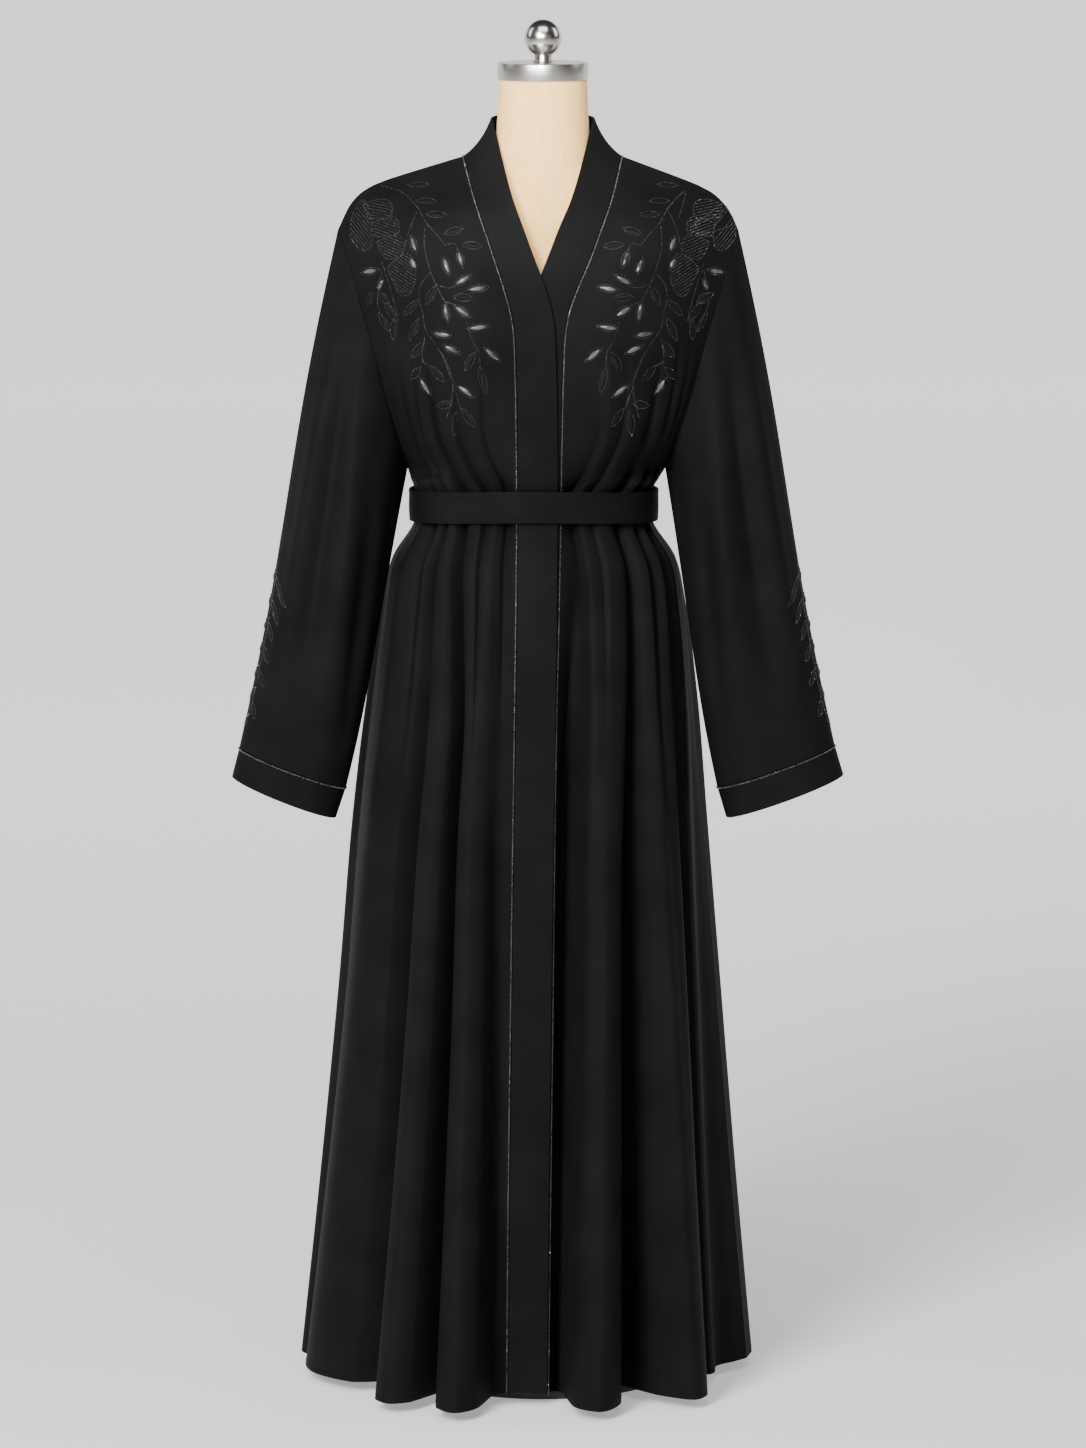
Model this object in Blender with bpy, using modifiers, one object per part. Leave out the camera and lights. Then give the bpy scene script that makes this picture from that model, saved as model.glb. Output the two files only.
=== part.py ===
"""Long open abaya cloak, belted, worn by a limbless dress form on a pole and a round base.

Metres, +Z up, the front faces -Y. The wearer's right side is at -X.
Every cloth piece is a loft: rows of points from the shoulder to the hem, worked out from the sizes below,
given a wall thickness. Pieces that are sewn together share their seam points, drawn back by half a seam gap.
"""

import math

import bmesh
import bpy
import numpy as np

MM = 0.001

# Cloth walls, and how far each piece's edge is drawn back from the seam line that it shares
CLOTH = 2.0 * MM
BAND_CLOTH = 2.4 * MM
SEAM_DRAW = 0.22 * MM
NECK_SEAM_DRAW = 0.65 * MM
SLEEVE_DRAW = 0.4 * MM
BACK_SIDE_DRAW = 0.3 * MM

# Bodice sections from the shoulder seam to the underarm, in millimetres. seam_* is where a front meets its
# band, arm_* is the armhole seam, back_* is the centre back, and gather is how much of each fold's belt
# reach shows at that level. The spreads lead the folds outwards, so that they fan out above the belt.
BODICE_COLUMNS = (
    "row", "seam_x_right", "seam_x_left", "seam_y", "seam_z",
    "arm_x_right", "arm_x_left", "arm_y", "arm_z", "bulge", "back_y", "back_z", "gather",
    "front_spread", "back_spread",
)
BODICE_ROWS = (
    ("shoulder", -83.0, 94.0, 0.0, 1399.5, -225.0, 226.0, 0.0, 1317.0, 0.0, 66.0, 1401.0, 0.00, 1.00, 0.0),
    ("collarbone", -70.0, 82.0, -66.0, 1357.0, -214.0, 217.0, 29.0, 1290.0, 8.0, 90.0, 1362.0, 0.00, 1.00, 0.0),
    ("chest", -50.0, 61.0, -101.0, 1300.0, -201.0, 203.0, 50.0, 1243.0, 10.0, 108.0, 1303.0, 0.00, 1.00, 0.1),
    ("bust", -28.0, 33.0, -119.0, 1228.0, -186.0, 187.0, 62.0, 1190.0, 10.0, 114.0, 1237.0, 0.05, 0.85, 0.3),
    ("under_bust", -23.5, 27.5, -125.0, 1160.0, -172.0, 173.0, 58.0, 1135.0, 9.0, 112.0, 1167.0, 0.22, 0.62, 0.5),
    ("blouse", -22.5, 26.0, -123.0, 1100.0, -158.0, 157.0, 39.0, 1083.0, 7.0, 108.0, 1105.0, 0.55, 0.48, 0.55),
    ("underarm", -22.0, 25.0, -115.0, 1060.0, -149.0, 146.0, 0.0, 1046.0, 3.0, 104.0, 1060.0, 0.85, 0.54, 0.5),
)
SHOULDER_DROP = {"right": 39.3, "left": 33.4}
SHOULDER_DROP_POWER = 9
SHOULDER_HANG = 21.0
SHOULDER_HANG_POWER = 5
FRONT_TURN_POWER = 2.4
BELT_SWING_POWER = 0.6
BACK_TURN_POWER = 2.6

# Skirt sections, in millimetres: an ellipse at each level, from which the folds are cut back.
SKIRT_COLUMNS = (
    "row", "height", "front_lift", "half_width", "front_depth", "back_depth", "centre_x",
    "seam_x_right", "seam_x_left", "centre_front_y",
)
SKIRT_ROWS = (
    ("blouse_edge", 1036.0, 8.0, 143.0, 110.0, 107.5, -3.0, -22.0, 25.0, -108.0),
    ("belt_top", 1021.5, 8.0, 136.5, 103.0, 102.0, -4.5, -22.0, 25.0, -101.5),
    ("belt_bottom", 985.0, 8.0, 136.5, 103.0, 102.0, -4.5, -22.0, 24.5, -101.5),
    ("flare", 944.0, 6.0, 162.0, 123.0, 119.0, -4.0, -22.3, 23.5, -119.0),
    ("high_hip", 888.0, 4.0, 175.0, 141.0, 136.0, -4.0, -22.8, 22.5, -132.0),
    ("hip", 780.0, 2.0, 191.5, 167.0, 160.0, -6.0, -24.3, 20.5, -145.0),
    ("thigh", 640.0, 1.0, 206.0, 191.0, 184.0, -8.5, -26.5, 18.5, -154.0),
    ("knee", 455.0, 0.0, 222.0, 217.0, 209.0, -8.5, -29.0, 16.5, -163.0),
    ("shin", 240.0, 0.0, 242.0, 243.0, 233.0, -10.0, -31.5, 14.0, -173.0),
    ("hem", 12.0, 0.0, 265.0, 266.0, 256.3, -11.7, -33.6, 11.5, -182.0),
)
HEM_FRONT_RISE = 6.0
HEM_RISE_DEG = 11.0
BAND_HEM_RISE = 3.6
LEFT_FRONT_SETBACK = 4.0
LEFT_SETBACK_FROM_ROW = 3

# Folds, in order round each panel. Degrees run from the centre front, through the side at 90, to the
# centre back at 180. belt, hip and hem are how far the fold stands out from the section, in millimetres.
FOLD_COLUMNS = ("fold", "belt_deg", "hip_deg", "hem_deg", "belt", "hip", "hem")
RIGHT_FRONT_FOLDS = (
    ("band_seam", 7.0, 6.5, 4.6, 0, 0, 0),
    ("front_hollow", 14.5, 11.9, 11.5, -7, -17, -88),
    ("inner_fold_start", 18.5, 15.9, 13.6, -3, -5, -14),
    ("inner_fold", 25.0, 19.9, 17.5, 0, 0, 8),
    ("inner_fold_end", 33.0, 23.5, 23.5, -1, -3, -8),
    ("deep_hollow", 38.5, 27.3, 30.5, -9, -25, -86),
    ("middle_fold_start", 40.5, 29.6, 32.0, -3, -6, -18),
    ("middle_fold", 43.0, 33.6, 36.0, 0, 0, 3),
    ("middle_fold_end", 45.5, 38.3, 43.0, -1, -3, -10),
    ("wide_hollow", 48.0, 42.8, 51.5, -9, -22, -68),
    ("outer_fold_start", 52.0, 46.9, 58.0, -1, -8, -40),
    ("short_pleat", 61.0, 51.6, 65.0, -7, -9, -24),
    ("outer_fold", 67.0, 61.6, 75.0, 0, -4, -9),
    ("outer_fold_end", 75.0, 72.9, 84.0, -2, -9, -8),
    ("side_turn", 82.0, 82.6, 88.5, -2, -10, -14),
    ("side_seam", 90.0, 90.3, 91.5, -2, -9, -20),
)
LEFT_FRONT_FOLDS = (
    ("band_seam", 11.5, 10.9, 8.6, 0, 0, 0),
    ("front_hollow", 21.5, 19.6, 12.4, -9, -24, -86),
    ("inner_fold_start", 24.5, 21.5, 13.2, -3, -6, -20),
    ("inner_fold", 33.0, 28.0, 19.0, 0, 0, 6),
    ("inner_fold_end", 42.0, 34.5, 26.5, -2, -3, -12),
    ("deep_hollow", 48.0, 40.5, 36.6, -9, -25, -88),
    ("middle_fold_start", 51.0, 43.5, 40.0, -2, -8, -30),
    ("middle_fold", 55.0, 47.0, 43.5, 0, 0, 9),
    ("short_pleat", 60.5, 51.0, 47.5, -8, -3, 8),
    ("middle_fold_end", 65.0, 56.0, 51.5, 0, -1, -5),
    ("side_hollow", 71.0, 63.5, 60.5, -9, -20, -60),
    ("small_fold", 76.0, 70.1, 70.5, -2, -9, -40),
    ("small_hollow", 82.0, 80.0, 80.0, -3, -11, -44),
    ("side_turn", 86.0, 86.0, 86.0, -2, -10, -26),
    ("side_seam", 90.0, 90.0, 90.0, -2, -9, -12),
)
BACK_FOLDS = (
    ("side_seam", 90.0, 90.3, 91.5, -2, -9, -20),
    ("side_fold", 98.0, 98.0, 98.0, 0, 0, 0),
    ("side_fold_end", 104.0, 104.4, 106.0, -1, -3, -8),
    ("hollow_1", 110.0, 110.8, 114.0, -9, -22, -72),
    ("fold_1_start", 115.0, 115.4, 117.0, -2, -6, -16),
    ("fold_1", 121.0, 121.6, 124.0, 0, 0, 4),
    ("fold_1_end", 128.0, 128.6, 131.0, -1, -3, -12),
    ("hollow_2", 134.0, 134.9, 138.5, -9, -24, -84),
    ("fold_2_start", 140.0, 140.4, 142.0, -2, -6, -14),
    ("fold_2", 147.0, 147.4, 149.0, 0, 0, 8),
    ("fold_2_end", 154.0, 154.5, 156.5, -1, -3, -10),
    ("hollow_3", 161.0, 161.6, 164.0, -9, -24, -86),
    ("fold_3_start", 167.0, 167.2, 168.0, -2, -6, -16),
    ("fold_3", 173.5, 173.8, 175.0, 0, 0, 6),
    ("fold_3_end", 180.0, 180.4, 182.0, -1, -3, -10),
    ("hollow_4", 187.0, 187.6, 190.0, -9, -24, -82),
    ("fold_4_start", 193.5, 193.8, 195.0, -2, -6, -16),
    ("fold_4", 203.0, 203.2, 204.0, 0, 0, 7),
    ("fold_4_end", 213.0, 213.0, 213.0, -1, -4, -12),
    ("hollow_5", 220.0, 220.2, 221.0, -9, -22, -78),
    ("fold_5_start", 226.0, 225.9, 225.5, -2, -6, -18),
    ("fold_5", 233.0, 233.0, 233.0, 0, 0, 5),
    ("fold_5_end", 240.0, 240.2, 241.0, -1, -3, -12),
    ("hollow_6", 246.5, 246.8, 248.0, -8, -20, -64),
    ("fold_6_start", 252.0, 252.0, 252.0, -2, -5, -18),
    ("fold_6", 260.0, 260.0, 260.0, 0, 0, -2),
    ("side_seam", 270.0, 270.0, 270.0, -2, -9, -12),
)
NECK_POINT_DEG = (147.0, 213.0)
CENTRE_BACK_DEG = 180.0

# Free edge of each front band at the bodice sections, x, y and z in millimetres, and how far the band
# rounds outward between its edges. The right band lies on top.
BAND_EDGE_COLUMNS = ("row", "right", "left", "crown")
BAND_EDGES = (
    ("shoulder", (-52.5, 0.0, 1442.0), (64.0, 0.0, 1442.0), -4.5),
    ("collarbone", (-32.0, -71.0, 1370.0), (42.5, -71.0, 1370.0), -1.5),
    ("chest", (-11.5, -101.5, 1314.0), (20.0, -97.0, 1316.0), 0.5),
    ("bust", (16.0, -119.5, 1235.5), (-10.0, -114.5, 1233.0), 1.2),
    ("under_bust", (21.2, -125.5, 1160.0), (-17.5, -121.0, 1160.0), 1.2),
    ("blouse", (22.2, -123.5, 1100.0), (-18.5, -119.0, 1100.0), 1.2),
    ("underarm", (22.6, -115.2, 1060.0), (-19.0, -111.0, 1060.0), 1.2),
)
BAND_WIDTH = 44.5
BAND_CROWN = 1.2
COLLAR_BACK_EDGE = (5.8, 58.5, 1447.0)
NECK_CENTRE_X = 5.8

# Sleeves: the cuff seam and the cuff's end are slanting ellipses, from the outer to the inner edge.
SLEEVE_RINGS = {
    "right": (
        {"outer": (338.3, 732.2), "inner": (217.3, 686.8), "y": -38.0, "half_depth": 43.0},
        {"outer": (347.0, 698.3), "inner": (229.1, 651.4), "y": -40.0, "half_depth": 43.0},
    ),
    "left": (
        {"outer": (336.8, 735.0), "inner": (203.5, 687.0), "y": -38.0, "half_depth": 43.0},
        {"outer": (347.0, 700.6), "inner": (214.0, 651.7), "y": -40.0, "half_depth": 43.0},
    ),
}
SLEEVE_STEPS = (0.0, 0.07, 0.16, 0.27, 0.39, 0.52, 0.65, 0.77, 0.89, 1.0)
SLEEVE_INNER_BOW = 3.0
SLEEVE_OUTER_BOW = 3.0
SLEEVE_DEPTH_BOW = 7.0
SLEEVE_FORWARD_BOW = 13.0
SLEEVE_FOLD_GROWS_OVER = 0.35
SLEEVE_FOLD_FADES_FROM = 0.55
SLEEVE_FOLD_FADES_BY = 0.9
SLEEVE_FOLD_COLUMNS = ("around_deg", "width_deg", "depth", "from_share")
SLEEVE_FOLDS = (
    (52.0, 15.0, 5.0, 0.05),
    (84.0, 15.0, -6.0, 0.02),
    (118.0, 16.0, 5.0, 0.10),
    (146.0, 12.0, -4.0, 0.15),
    (232.0, 15.0, -5.0, 0.10),
    (268.0, 18.0, 5.0, 0.05),
    (306.0, 15.0, -5.0, 0.05),
)

# Belt
BELT_WIDTH = 36 * MM
BELT_CLOTH = 2.4 * MM
BELT_HEIGHT = 1005 * MM
BELT_FRONT_LIFT = 8 * MM
BELT_HALF_WIDTH = 141 * MM
BELT_HALF_DEPTH = 107.6 * MM
BELT_CENTRE_X = -4.5 * MM
BELT_LAP_DEG = 22.0
BELT_LAP_RISE = 3.2 * MM
BELT_RISE_DEG = (320.0, 350.0)
BELT_SEGMENTS = 56

# Dress form, as level rings: height, half width, front, back, and how square the ring is. Millimetres.
FORM_X = 6 * MM
FORM_COLUMNS = ("height", "half_width", "front", "back", "squareness")
FORM_ROWS = (
    (700.0, 128.0, 78.0, 84.0, 2.0),
    (716.0, 142.0, 88.0, 94.0, 2.0),
    (760.0, 150.0, 95.0, 100.0, 2.1),
    (840.0, 148.0, 94.0, 100.0, 2.1),
    (920.0, 130.0, 84.0, 90.0, 2.1),
    (1003.0, 112.0, 74.0, 76.0, 2.0),
    (1070.0, 120.0, 82.0, 80.0, 2.0),
    (1130.0, 133.0, 97.0, 86.0, 2.1),
    (1175.0, 145.0, 104.0, 90.0, 2.2),
    (1225.0, 157.0, 100.0, 92.0, 2.2),
    (1270.0, 170.0, 90.0, 88.0, 2.1),
    (1310.0, 181.0, 78.0, 78.0, 1.9),
    (1338.0, 181.0, 69.0, 69.0, 1.6),
    (1355.0, 168.0, 63.0, 63.0, 1.4),
    (1368.0, 146.0, 58.5, 59.0, 1.3),
    (1380.0, 110.0, 54.5, 55.0, 1.3),
    (1391.0, 71.0, 51.0, 51.5, 1.6),
    (1406.0, 56.5, 50.0, 51.0, 2.0),
    (1440.0, 51.5, 50.0, 50.0, 2.0),
    (1485.0, 49.5, 49.5, 49.5, 2.0),
)
FORM_SEGMENTS = 28

# Metal parts of the form
CAP_RADIUS = 51.2 * MM
CAP_HEIGHT = 19 * MM
CAP_EDGE = 1.2 * MM
PIECE_GAP = 0.3 * MM
BALL_RADIUS = 21 * MM
BALL_STEPS = 12
STEM_RADIUS = 11 * MM
STEM_HEIGHT = 9 * MM
POLE_RADIUS = 12.5 * MM
BASE_RADIUS = 150 * MM
BASE_THICKNESS = 10 * MM
BASE_EDGE = 3 * MM
ROUND_STEPS = 28

COLOURS = {
    "black crepe": ((0.012, 0.012, 0.013), 0.75, 0.0),
    "cream linen": ((0.80, 0.68, 0.50), 0.85, 0.0),
    "brushed nickel": ((0.55, 0.53, 0.50), 0.32, 1.0),
    "black steel": ((0.03, 0.03, 0.03), 0.45, 0.6),
}


def table(columns, rows):
    return [dict(zip(columns, row)) for row in rows]


def through(points, spacing, steps):
    """Points on a smooth curve through the given ones (first axis), with steps[i] of them in span i."""
    points = np.asarray(points, float)
    spacing = np.asarray(spacing, float)
    while spacing.ndim < points.ndim:
        spacing = spacing[..., None]
    slope = np.diff(points, axis=0) / spacing
    inner = (slope[:-1] * spacing[1:] + slope[1:] * spacing[:-1]) / (spacing[:-1] + spacing[1:])
    tangent = np.concatenate([slope[:1], inner, slope[-1:]])
    found = []
    for i, count in enumerate(steps):
        for share in np.arange(count) / count:
            a, b = share * share, share * share * share
            found.append(
                (2 * b - 3 * a + 1) * points[i]
                + (b - 2 * a + share) * spacing[i] * tangent[i]
                + (3 * a - 2 * b) * points[i + 1]
                + (b - a) * spacing[i] * tangent[i + 1]
            )
    found.append(points[-1])
    return np.array(found)


def chords(points):
    """Spacing for through(): the square root of each chord, so the curve keeps close at short spans."""
    return np.sqrt(np.maximum(np.linalg.norm(np.diff(points, axis=0), axis=-1), 1e-6))


def normals(grid, closed=False):
    """Unit normals of a grid of points, row by row."""
    down = np.gradient(grid, axis=0)
    if closed:
        across = (np.roll(grid, -1, axis=1) - np.roll(grid, 1, axis=1)) / 2
    else:
        across = np.gradient(grid, axis=1)
    found = np.cross(down, across)
    return found / np.maximum(np.linalg.norm(found, axis=-1, keepdims=True), 1e-12)


def ease(share):
    share = min(max(share, 0.0), 1.0)
    return share * share * (3 - 2 * share)


BODICE = table(BODICE_COLUMNS, BODICE_ROWS)
SKIRT = table(SKIRT_COLUMNS, SKIRT_ROWS)
LEVEL = {row["row"]: row["height"] for row in SKIRT}
ROW_HEIGHTS = [row["arm_z"] for row in BODICE] + [row["height"] for row in SKIRT]
ROW_SPACING = np.sqrt(np.abs(np.diff(ROW_HEIGHTS)) * MM)
BODICE_STEPS = [2, 2, 2, 1, 1, 1]
ROW_STEPS = BODICE_STEPS + [1] * len(SKIRT)
ARMHOLE_SAMPLES = sum(BODICE_STEPS) + 1
FRONT_FOLD_STEPS = 2
BACK_FOLD_STEPS = 1


def shoulder_point(share, side):
    """A point on the shoulder seam, from the neck (0) to the tip (1)."""
    row = BODICE[0]
    name = "right" if side < 0 else "left"
    x = row[f"seam_x_{name}"] * (1 - share) + row[f"arm_x_{name}"] * share
    drop = SHOULDER_DROP[name]
    z = row["seam_z"] * (1 - share) + (row["arm_z"] + drop) * share - drop * share**SHOULDER_DROP_POWER
    return np.array([x, 0.0, z])


def fold_reach(fold, height):
    """How far a fold stands out from the skirt's section at a level."""
    if height >= LEVEL["hip"]:
        share = ease((LEVEL["belt_bottom"] - height) / (LEVEL["belt_bottom"] - LEVEL["hip"]))
        return fold["belt"] * (1 - share) + fold["hip"] * share
    share = (LEVEL["hip"] - height) / (LEVEL["hip"] - LEVEL["hem"])
    return fold["hip"] * (1 - share) + fold["hem"] * share


def fold_angle(fold, height):
    """A fold's angle from the centre front. It swings fast just below the belt, so that it hangs straight."""
    if height >= LEVEL["hip"]:
        share = (LEVEL["belt_bottom"] - height) / (LEVEL["belt_bottom"] - LEVEL["hip"])
        share = min(max(share, 0.0), 1.0) ** BELT_SWING_POWER
        return math.radians(fold["belt_deg"] * (1 - share) + fold["hip_deg"] * share)
    share = (LEVEL["hip"] - height) / (LEVEL["hip"] - LEVEL["hem"])
    return math.radians(fold["hip_deg"] * (1 - share) + fold["hem_deg"] * share)


def skirt_point(row, fold, side):
    """A fold's point at one level of the skirt. side is -1 for angles that run to the wearer's right."""
    angle = fold_angle(fold, row["height"])
    depth = row["front_depth"] if math.cos(angle) > 0 else row["back_depth"]
    reach = fold_reach(fold, row["height"])
    x = row["centre_x"] + side * (row["half_width"] + reach) * math.sin(angle)
    y = -(depth + reach) * math.cos(angle)
    z = row["height"] + row["front_lift"] * max(math.cos(angle), 0.0) ** 2
    if row["row"] == "hem":
        z += HEM_FRONT_RISE * max(0.0, 1 - math.degrees(angle) / HEM_RISE_DEG)
    return np.array([x, y, z])


def seam_setback(index, side):
    """The left front lies under the right band, so it is set back below the neck."""
    return LEFT_FRONT_SETBACK if side > 0 and index >= LEFT_SETBACK_FROM_ROW else 0.0


def shoulder_hang(index, share):
    """How much the section below the shoulder seam is lifted between the neck and the armhole."""
    return SHOULDER_HANG * (share - share**SHOULDER_HANG_POWER) if index == 1 else 0.0


def front_net(folds, side):
    """Control points of a front panel, from its band seam to its side, for every row."""
    name = "right" if side < 0 else "left"
    first, last = folds[0]["belt_deg"], folds[-1]["belt_deg"]
    net = []
    for index, row in enumerate(BODICE):
        points = []
        for fold in folds:
            share = ((fold["belt_deg"] - first) / (last - first)) ** row["front_spread"]
            if index == 0:
                points.append(shoulder_point(share, side))
                continue
            x = row[f"seam_x_{name}"] * (1 - share) + row[f"arm_x_{name}"] * share
            turn = share**FRONT_TURN_POWER
            start_y = row["seam_y"] + seam_setback(index, side)
            y = start_y * (1 - turn) - row["arm_y"] * turn - row["bulge"] * 4 * share * (1 - share)
            z = row["seam_z"] * (1 - share) + row["arm_z"] * share + shoulder_hang(index, share)
            out = share * math.pi / 2
            push = fold["belt"] * row["gather"]
            points.append(np.array([x + side * push * math.sin(out), y - push * math.cos(out), z]))
        net.append(points)
    for row in SKIRT:
        points = [skirt_point(row, fold, side) for fold in folds]
        back_by = seam_setback(len(BODICE), side)
        points[0] = np.array([row[f"seam_x_{name}"], row["centre_front_y"] + back_by, points[0][2]])
        net.append(points)
    return np.array(net) * MM


def back_net(folds):
    """Control points of the back, from the right side seam round to the left one, for every row."""
    net = []
    for index, row in enumerate(BODICE):
        points = []
        for fold in folds:
            off = fold["belt_deg"] - CENTRE_BACK_DEG
            side = -1 if off < 0 else 1
            name = "right" if side < 0 else "left"
            share = abs(off) / 90
            neck = abs(NECK_POINT_DEG[0] - CENTRE_BACK_DEG) / 90
            if index == 0 and share >= neck:
                points.append(shoulder_point((share - neck) / (1 - neck), side))
                continue
            if index == 0:
                around = share / neck * math.pi / 2
                reach_x = abs(row[f"seam_x_{name}"] - NECK_CENTRE_X)
                x = NECK_CENTRE_X + side * reach_x * math.sin(around)
                points.append(np.array([x, row["back_y"] * math.cos(around), row["back_z"]]))
                continue
            share += (math.sin(share * math.pi / 2) - share) * row["back_spread"]
            x = NECK_CENTRE_X * (1 - share) + row[f"arm_x_{name}"] * share
            turn = share**BACK_TURN_POWER
            y = row["back_y"] * (1 - turn) + row["arm_y"] * turn
            z = row["back_z"] * (1 - share) + row["arm_z"] * share + shoulder_hang(index, share)
            out = share * math.pi / 2
            push = fold["belt"] * row["gather"]
            points.append(np.array([x + side * push * math.sin(out), y + push * math.cos(out), z]))
        net.append(points)
    for row in SKIRT:
        net.append([skirt_point(row, fold, -1) for fold in folds])
    return np.array(net) * MM


def panel_grid(net, steps):
    """A panel's points: across its folds first, then down its rows, which every panel spaces alike."""
    across = through(np.swapaxes(net, 0, 1), chords(np.swapaxes(net, 0, 1)), [steps] * (net.shape[1] - 1))
    return through(np.swapaxes(across, 0, 1), ROW_SPACING, ROW_STEPS)


def band_grid(front, side, neck_seam):
    """A front band from the centre back of the neck to the hem: three columns, seam, crown and edge.

    front is the front panel's grid, and neck_seam the back's neck points from the shoulder to its centre.
    """
    key = "right" if side < 0 else "left"
    edges = [np.array(row[key]) for row in table(BAND_EDGE_COLUMNS, BAND_EDGES)]
    back_by = seam_setback(len(BODICE), side)
    for row in SKIRT:
        x = row[f"seam_x_{key}"] - side * BAND_WIDTH
        z = row["height"] + row["front_lift"] + (BAND_HEM_RISE if row["row"] == "hem" else 0.0)
        edges.append(np.array([x, row["centre_front_y"] + back_by, z]))
    edge = through(np.array(edges) * MM, ROW_SPACING, ROW_STEPS)
    crowns = [[row["crown"]] for row in table(BAND_EDGE_COLUMNS, BAND_EDGES)] + [[BAND_CROWN]] * len(SKIRT)
    crown = through(crowns, ROW_SPACING, ROW_STEPS) * MM
    seam = front[:, 0]
    top = np.array(COLLAR_BACK_EDGE) * MM
    shoulder = edge[0]
    collar = []
    for point in neck_seam[1:][::-1]:
        around = math.atan2(point[1], abs(point[0] - top[0]))
        share = around / (math.pi / 2)
        x = top[0] + (shoulder[0] - top[0]) * math.cos(around)
        z = shoulder[2] * (1 - share) + top[2] * share
        collar.append([x, top[1] * math.sin(around), z])
    seam = np.concatenate([neck_seam[1:][::-1], seam])
    edge = np.concatenate([np.array(collar), edge])
    grid = np.stack([seam, (seam + edge) / 2, edge], axis=1)
    crown = np.concatenate([np.repeat(crown[:1], len(collar), axis=0), crown])
    outward = normals(grid) * (1 if side < 0 else -1)
    rise = edge[0] - seam[0]
    outward[0, 1] = np.array([0.0, rise[2], -rise[1]]) / np.linalg.norm(rise)
    grid[:, 1] += outward[:, 1] * crown
    return grid


def ring_of(ring, angles, side):
    """Points of a sleeve's ellipse: 0 degrees at the outer edge, 90 in front, 180 inside."""
    outer, inner = np.array(ring["outer"]), np.array(ring["inner"])
    centre, half = (outer + inner) / 2, (outer - inner) / 2
    points = []
    for angle in angles:
        along = centre + half * math.cos(angle)
        points.append([side * along[0], ring["y"] - ring["half_depth"] * math.sin(angle), along[1]])
    return np.array(points) * MM


def sleeve_grids(front, back_edge, side):
    """The sleeve from the armhole to the cuff seam, and the cuff below it."""
    loop = np.concatenate([front[:ARMHOLE_SAMPLES, -1], back_edge[:ARMHOLE_SAMPLES][::-1][1:-1]])
    count = len(loop)
    angles = [2 * math.pi * k / count for k in range(count)]
    seam, end = [ring_of(ring, angles, side) for ring in SLEEVE_RINGS["right" if side < 0 else "left"]]
    folds = table(SLEEVE_FOLD_COLUMNS, SLEEVE_FOLDS)
    rows = []
    for share in SLEEVE_STEPS:
        row = loop * (1 - share) + seam * share
        middle = row.mean(axis=0)
        faded = ease((share - SLEEVE_FOLD_FADES_FROM) / (1 - SLEEVE_FOLD_FADES_FROM))
        for k, angle in enumerate(angles):
            inner = ((1 - math.cos(angle)) / 2) ** 2
            outer = ((1 + math.cos(angle)) / 2) ** 2
            row[k, 0] -= side * SLEEVE_INNER_BOW * MM * inner * math.sin(math.pi * share**2)
            row[k, 0] += side * SLEEVE_OUTER_BOW * MM * outer * math.sin(2 * math.pi * share)
            deeper = SLEEVE_DEPTH_BOW * math.sin(angle) + SLEEVE_FORWARD_BOW
            row[k, 1] -= deeper * MM * math.sin(math.pi * share)
            push = 0.0
            for fold in folds:
                off = (math.degrees(angle) - fold["around_deg"]) / fold["width_deg"]
                grown = ease((share - fold["from_share"]) / SLEEVE_FOLD_GROWS_OVER)
                push += fold["depth"] * math.exp(-off * off) * grown * (1 - SLEEVE_FOLD_FADES_BY * faded)
            out = (row[k] - middle) * (1, 1, 0)
            row[k] += out / np.linalg.norm(out) * push * MM
        rows.append(row)
    return np.array(rows), np.array([seam, end])


def belt_grid():
    """The belt as one strip, whose end laps over its start at the centre back."""
    rows = [[], []]
    total = 360.0 + BELT_LAP_DEG
    for k in range(BELT_SEGMENTS + 1):
        turned = total * k / BELT_SEGMENTS
        angle = math.radians(turned - BELT_LAP_DEG / 2)
        rise = BELT_LAP_RISE * ease((turned - BELT_RISE_DEG[0]) / (BELT_RISE_DEG[1] - BELT_RISE_DEG[0]))
        x = BELT_CENTRE_X + (BELT_HALF_WIDTH + rise) * -math.sin(angle)
        y = (BELT_HALF_DEPTH + rise) * math.cos(angle)
        z = BELT_HEIGHT + BELT_FRONT_LIFT * max(-math.cos(angle), 0.0) ** 2
        rows[0].append([x, y, z + BELT_WIDTH / 2])
        rows[1].append([x, y, z - BELT_WIDTH / 2])
    return np.array(rows)


def drawn_back(grid, amounts):
    """The grid with its edges drawn back along the cloth, by amounts for its top, bottom, first and last."""
    grid = grid.copy()
    top, bottom, first, last = [np.reshape(amount, (-1, 1)) for amount in amounts]
    for amount, edge, inside in ((top, grid[0], grid[1]), (bottom, grid[-1], grid[-2])):
        step = inside - edge
        edge += step * amount / np.linalg.norm(step, axis=-1, keepdims=True)
    for amount, column, inside in ((first, 0, 1), (last, -1, -2)):
        step = grid[:, inside] - grid[:, column]
        grid[:, column] += step * amount / np.linalg.norm(step, axis=-1, keepdims=True)
    return grid


def material(name):
    found = bpy.data.materials.get(name)
    if found is None:
        colour, roughness, metallic = COLOURS[name]
        found = bpy.data.materials.new(name)
        found.use_nodes = True
        shader = found.node_tree.nodes["Principled BSDF"]
        shader.inputs["Base Color"].default_value = (*colour, 1.0)
        shader.inputs["Roughness"].default_value = roughness
        shader.inputs["Metallic"].default_value = metallic
    return found


def add_object(name, mesh, finish, collection):
    mesh.materials.append(material(finish))
    mesh.shade_smooth()
    mesh.set_sharp_from_angle(angle=math.radians(50))
    piece = bpy.data.objects.new(name, mesh)
    collection.objects.link(piece)
    return piece


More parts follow.
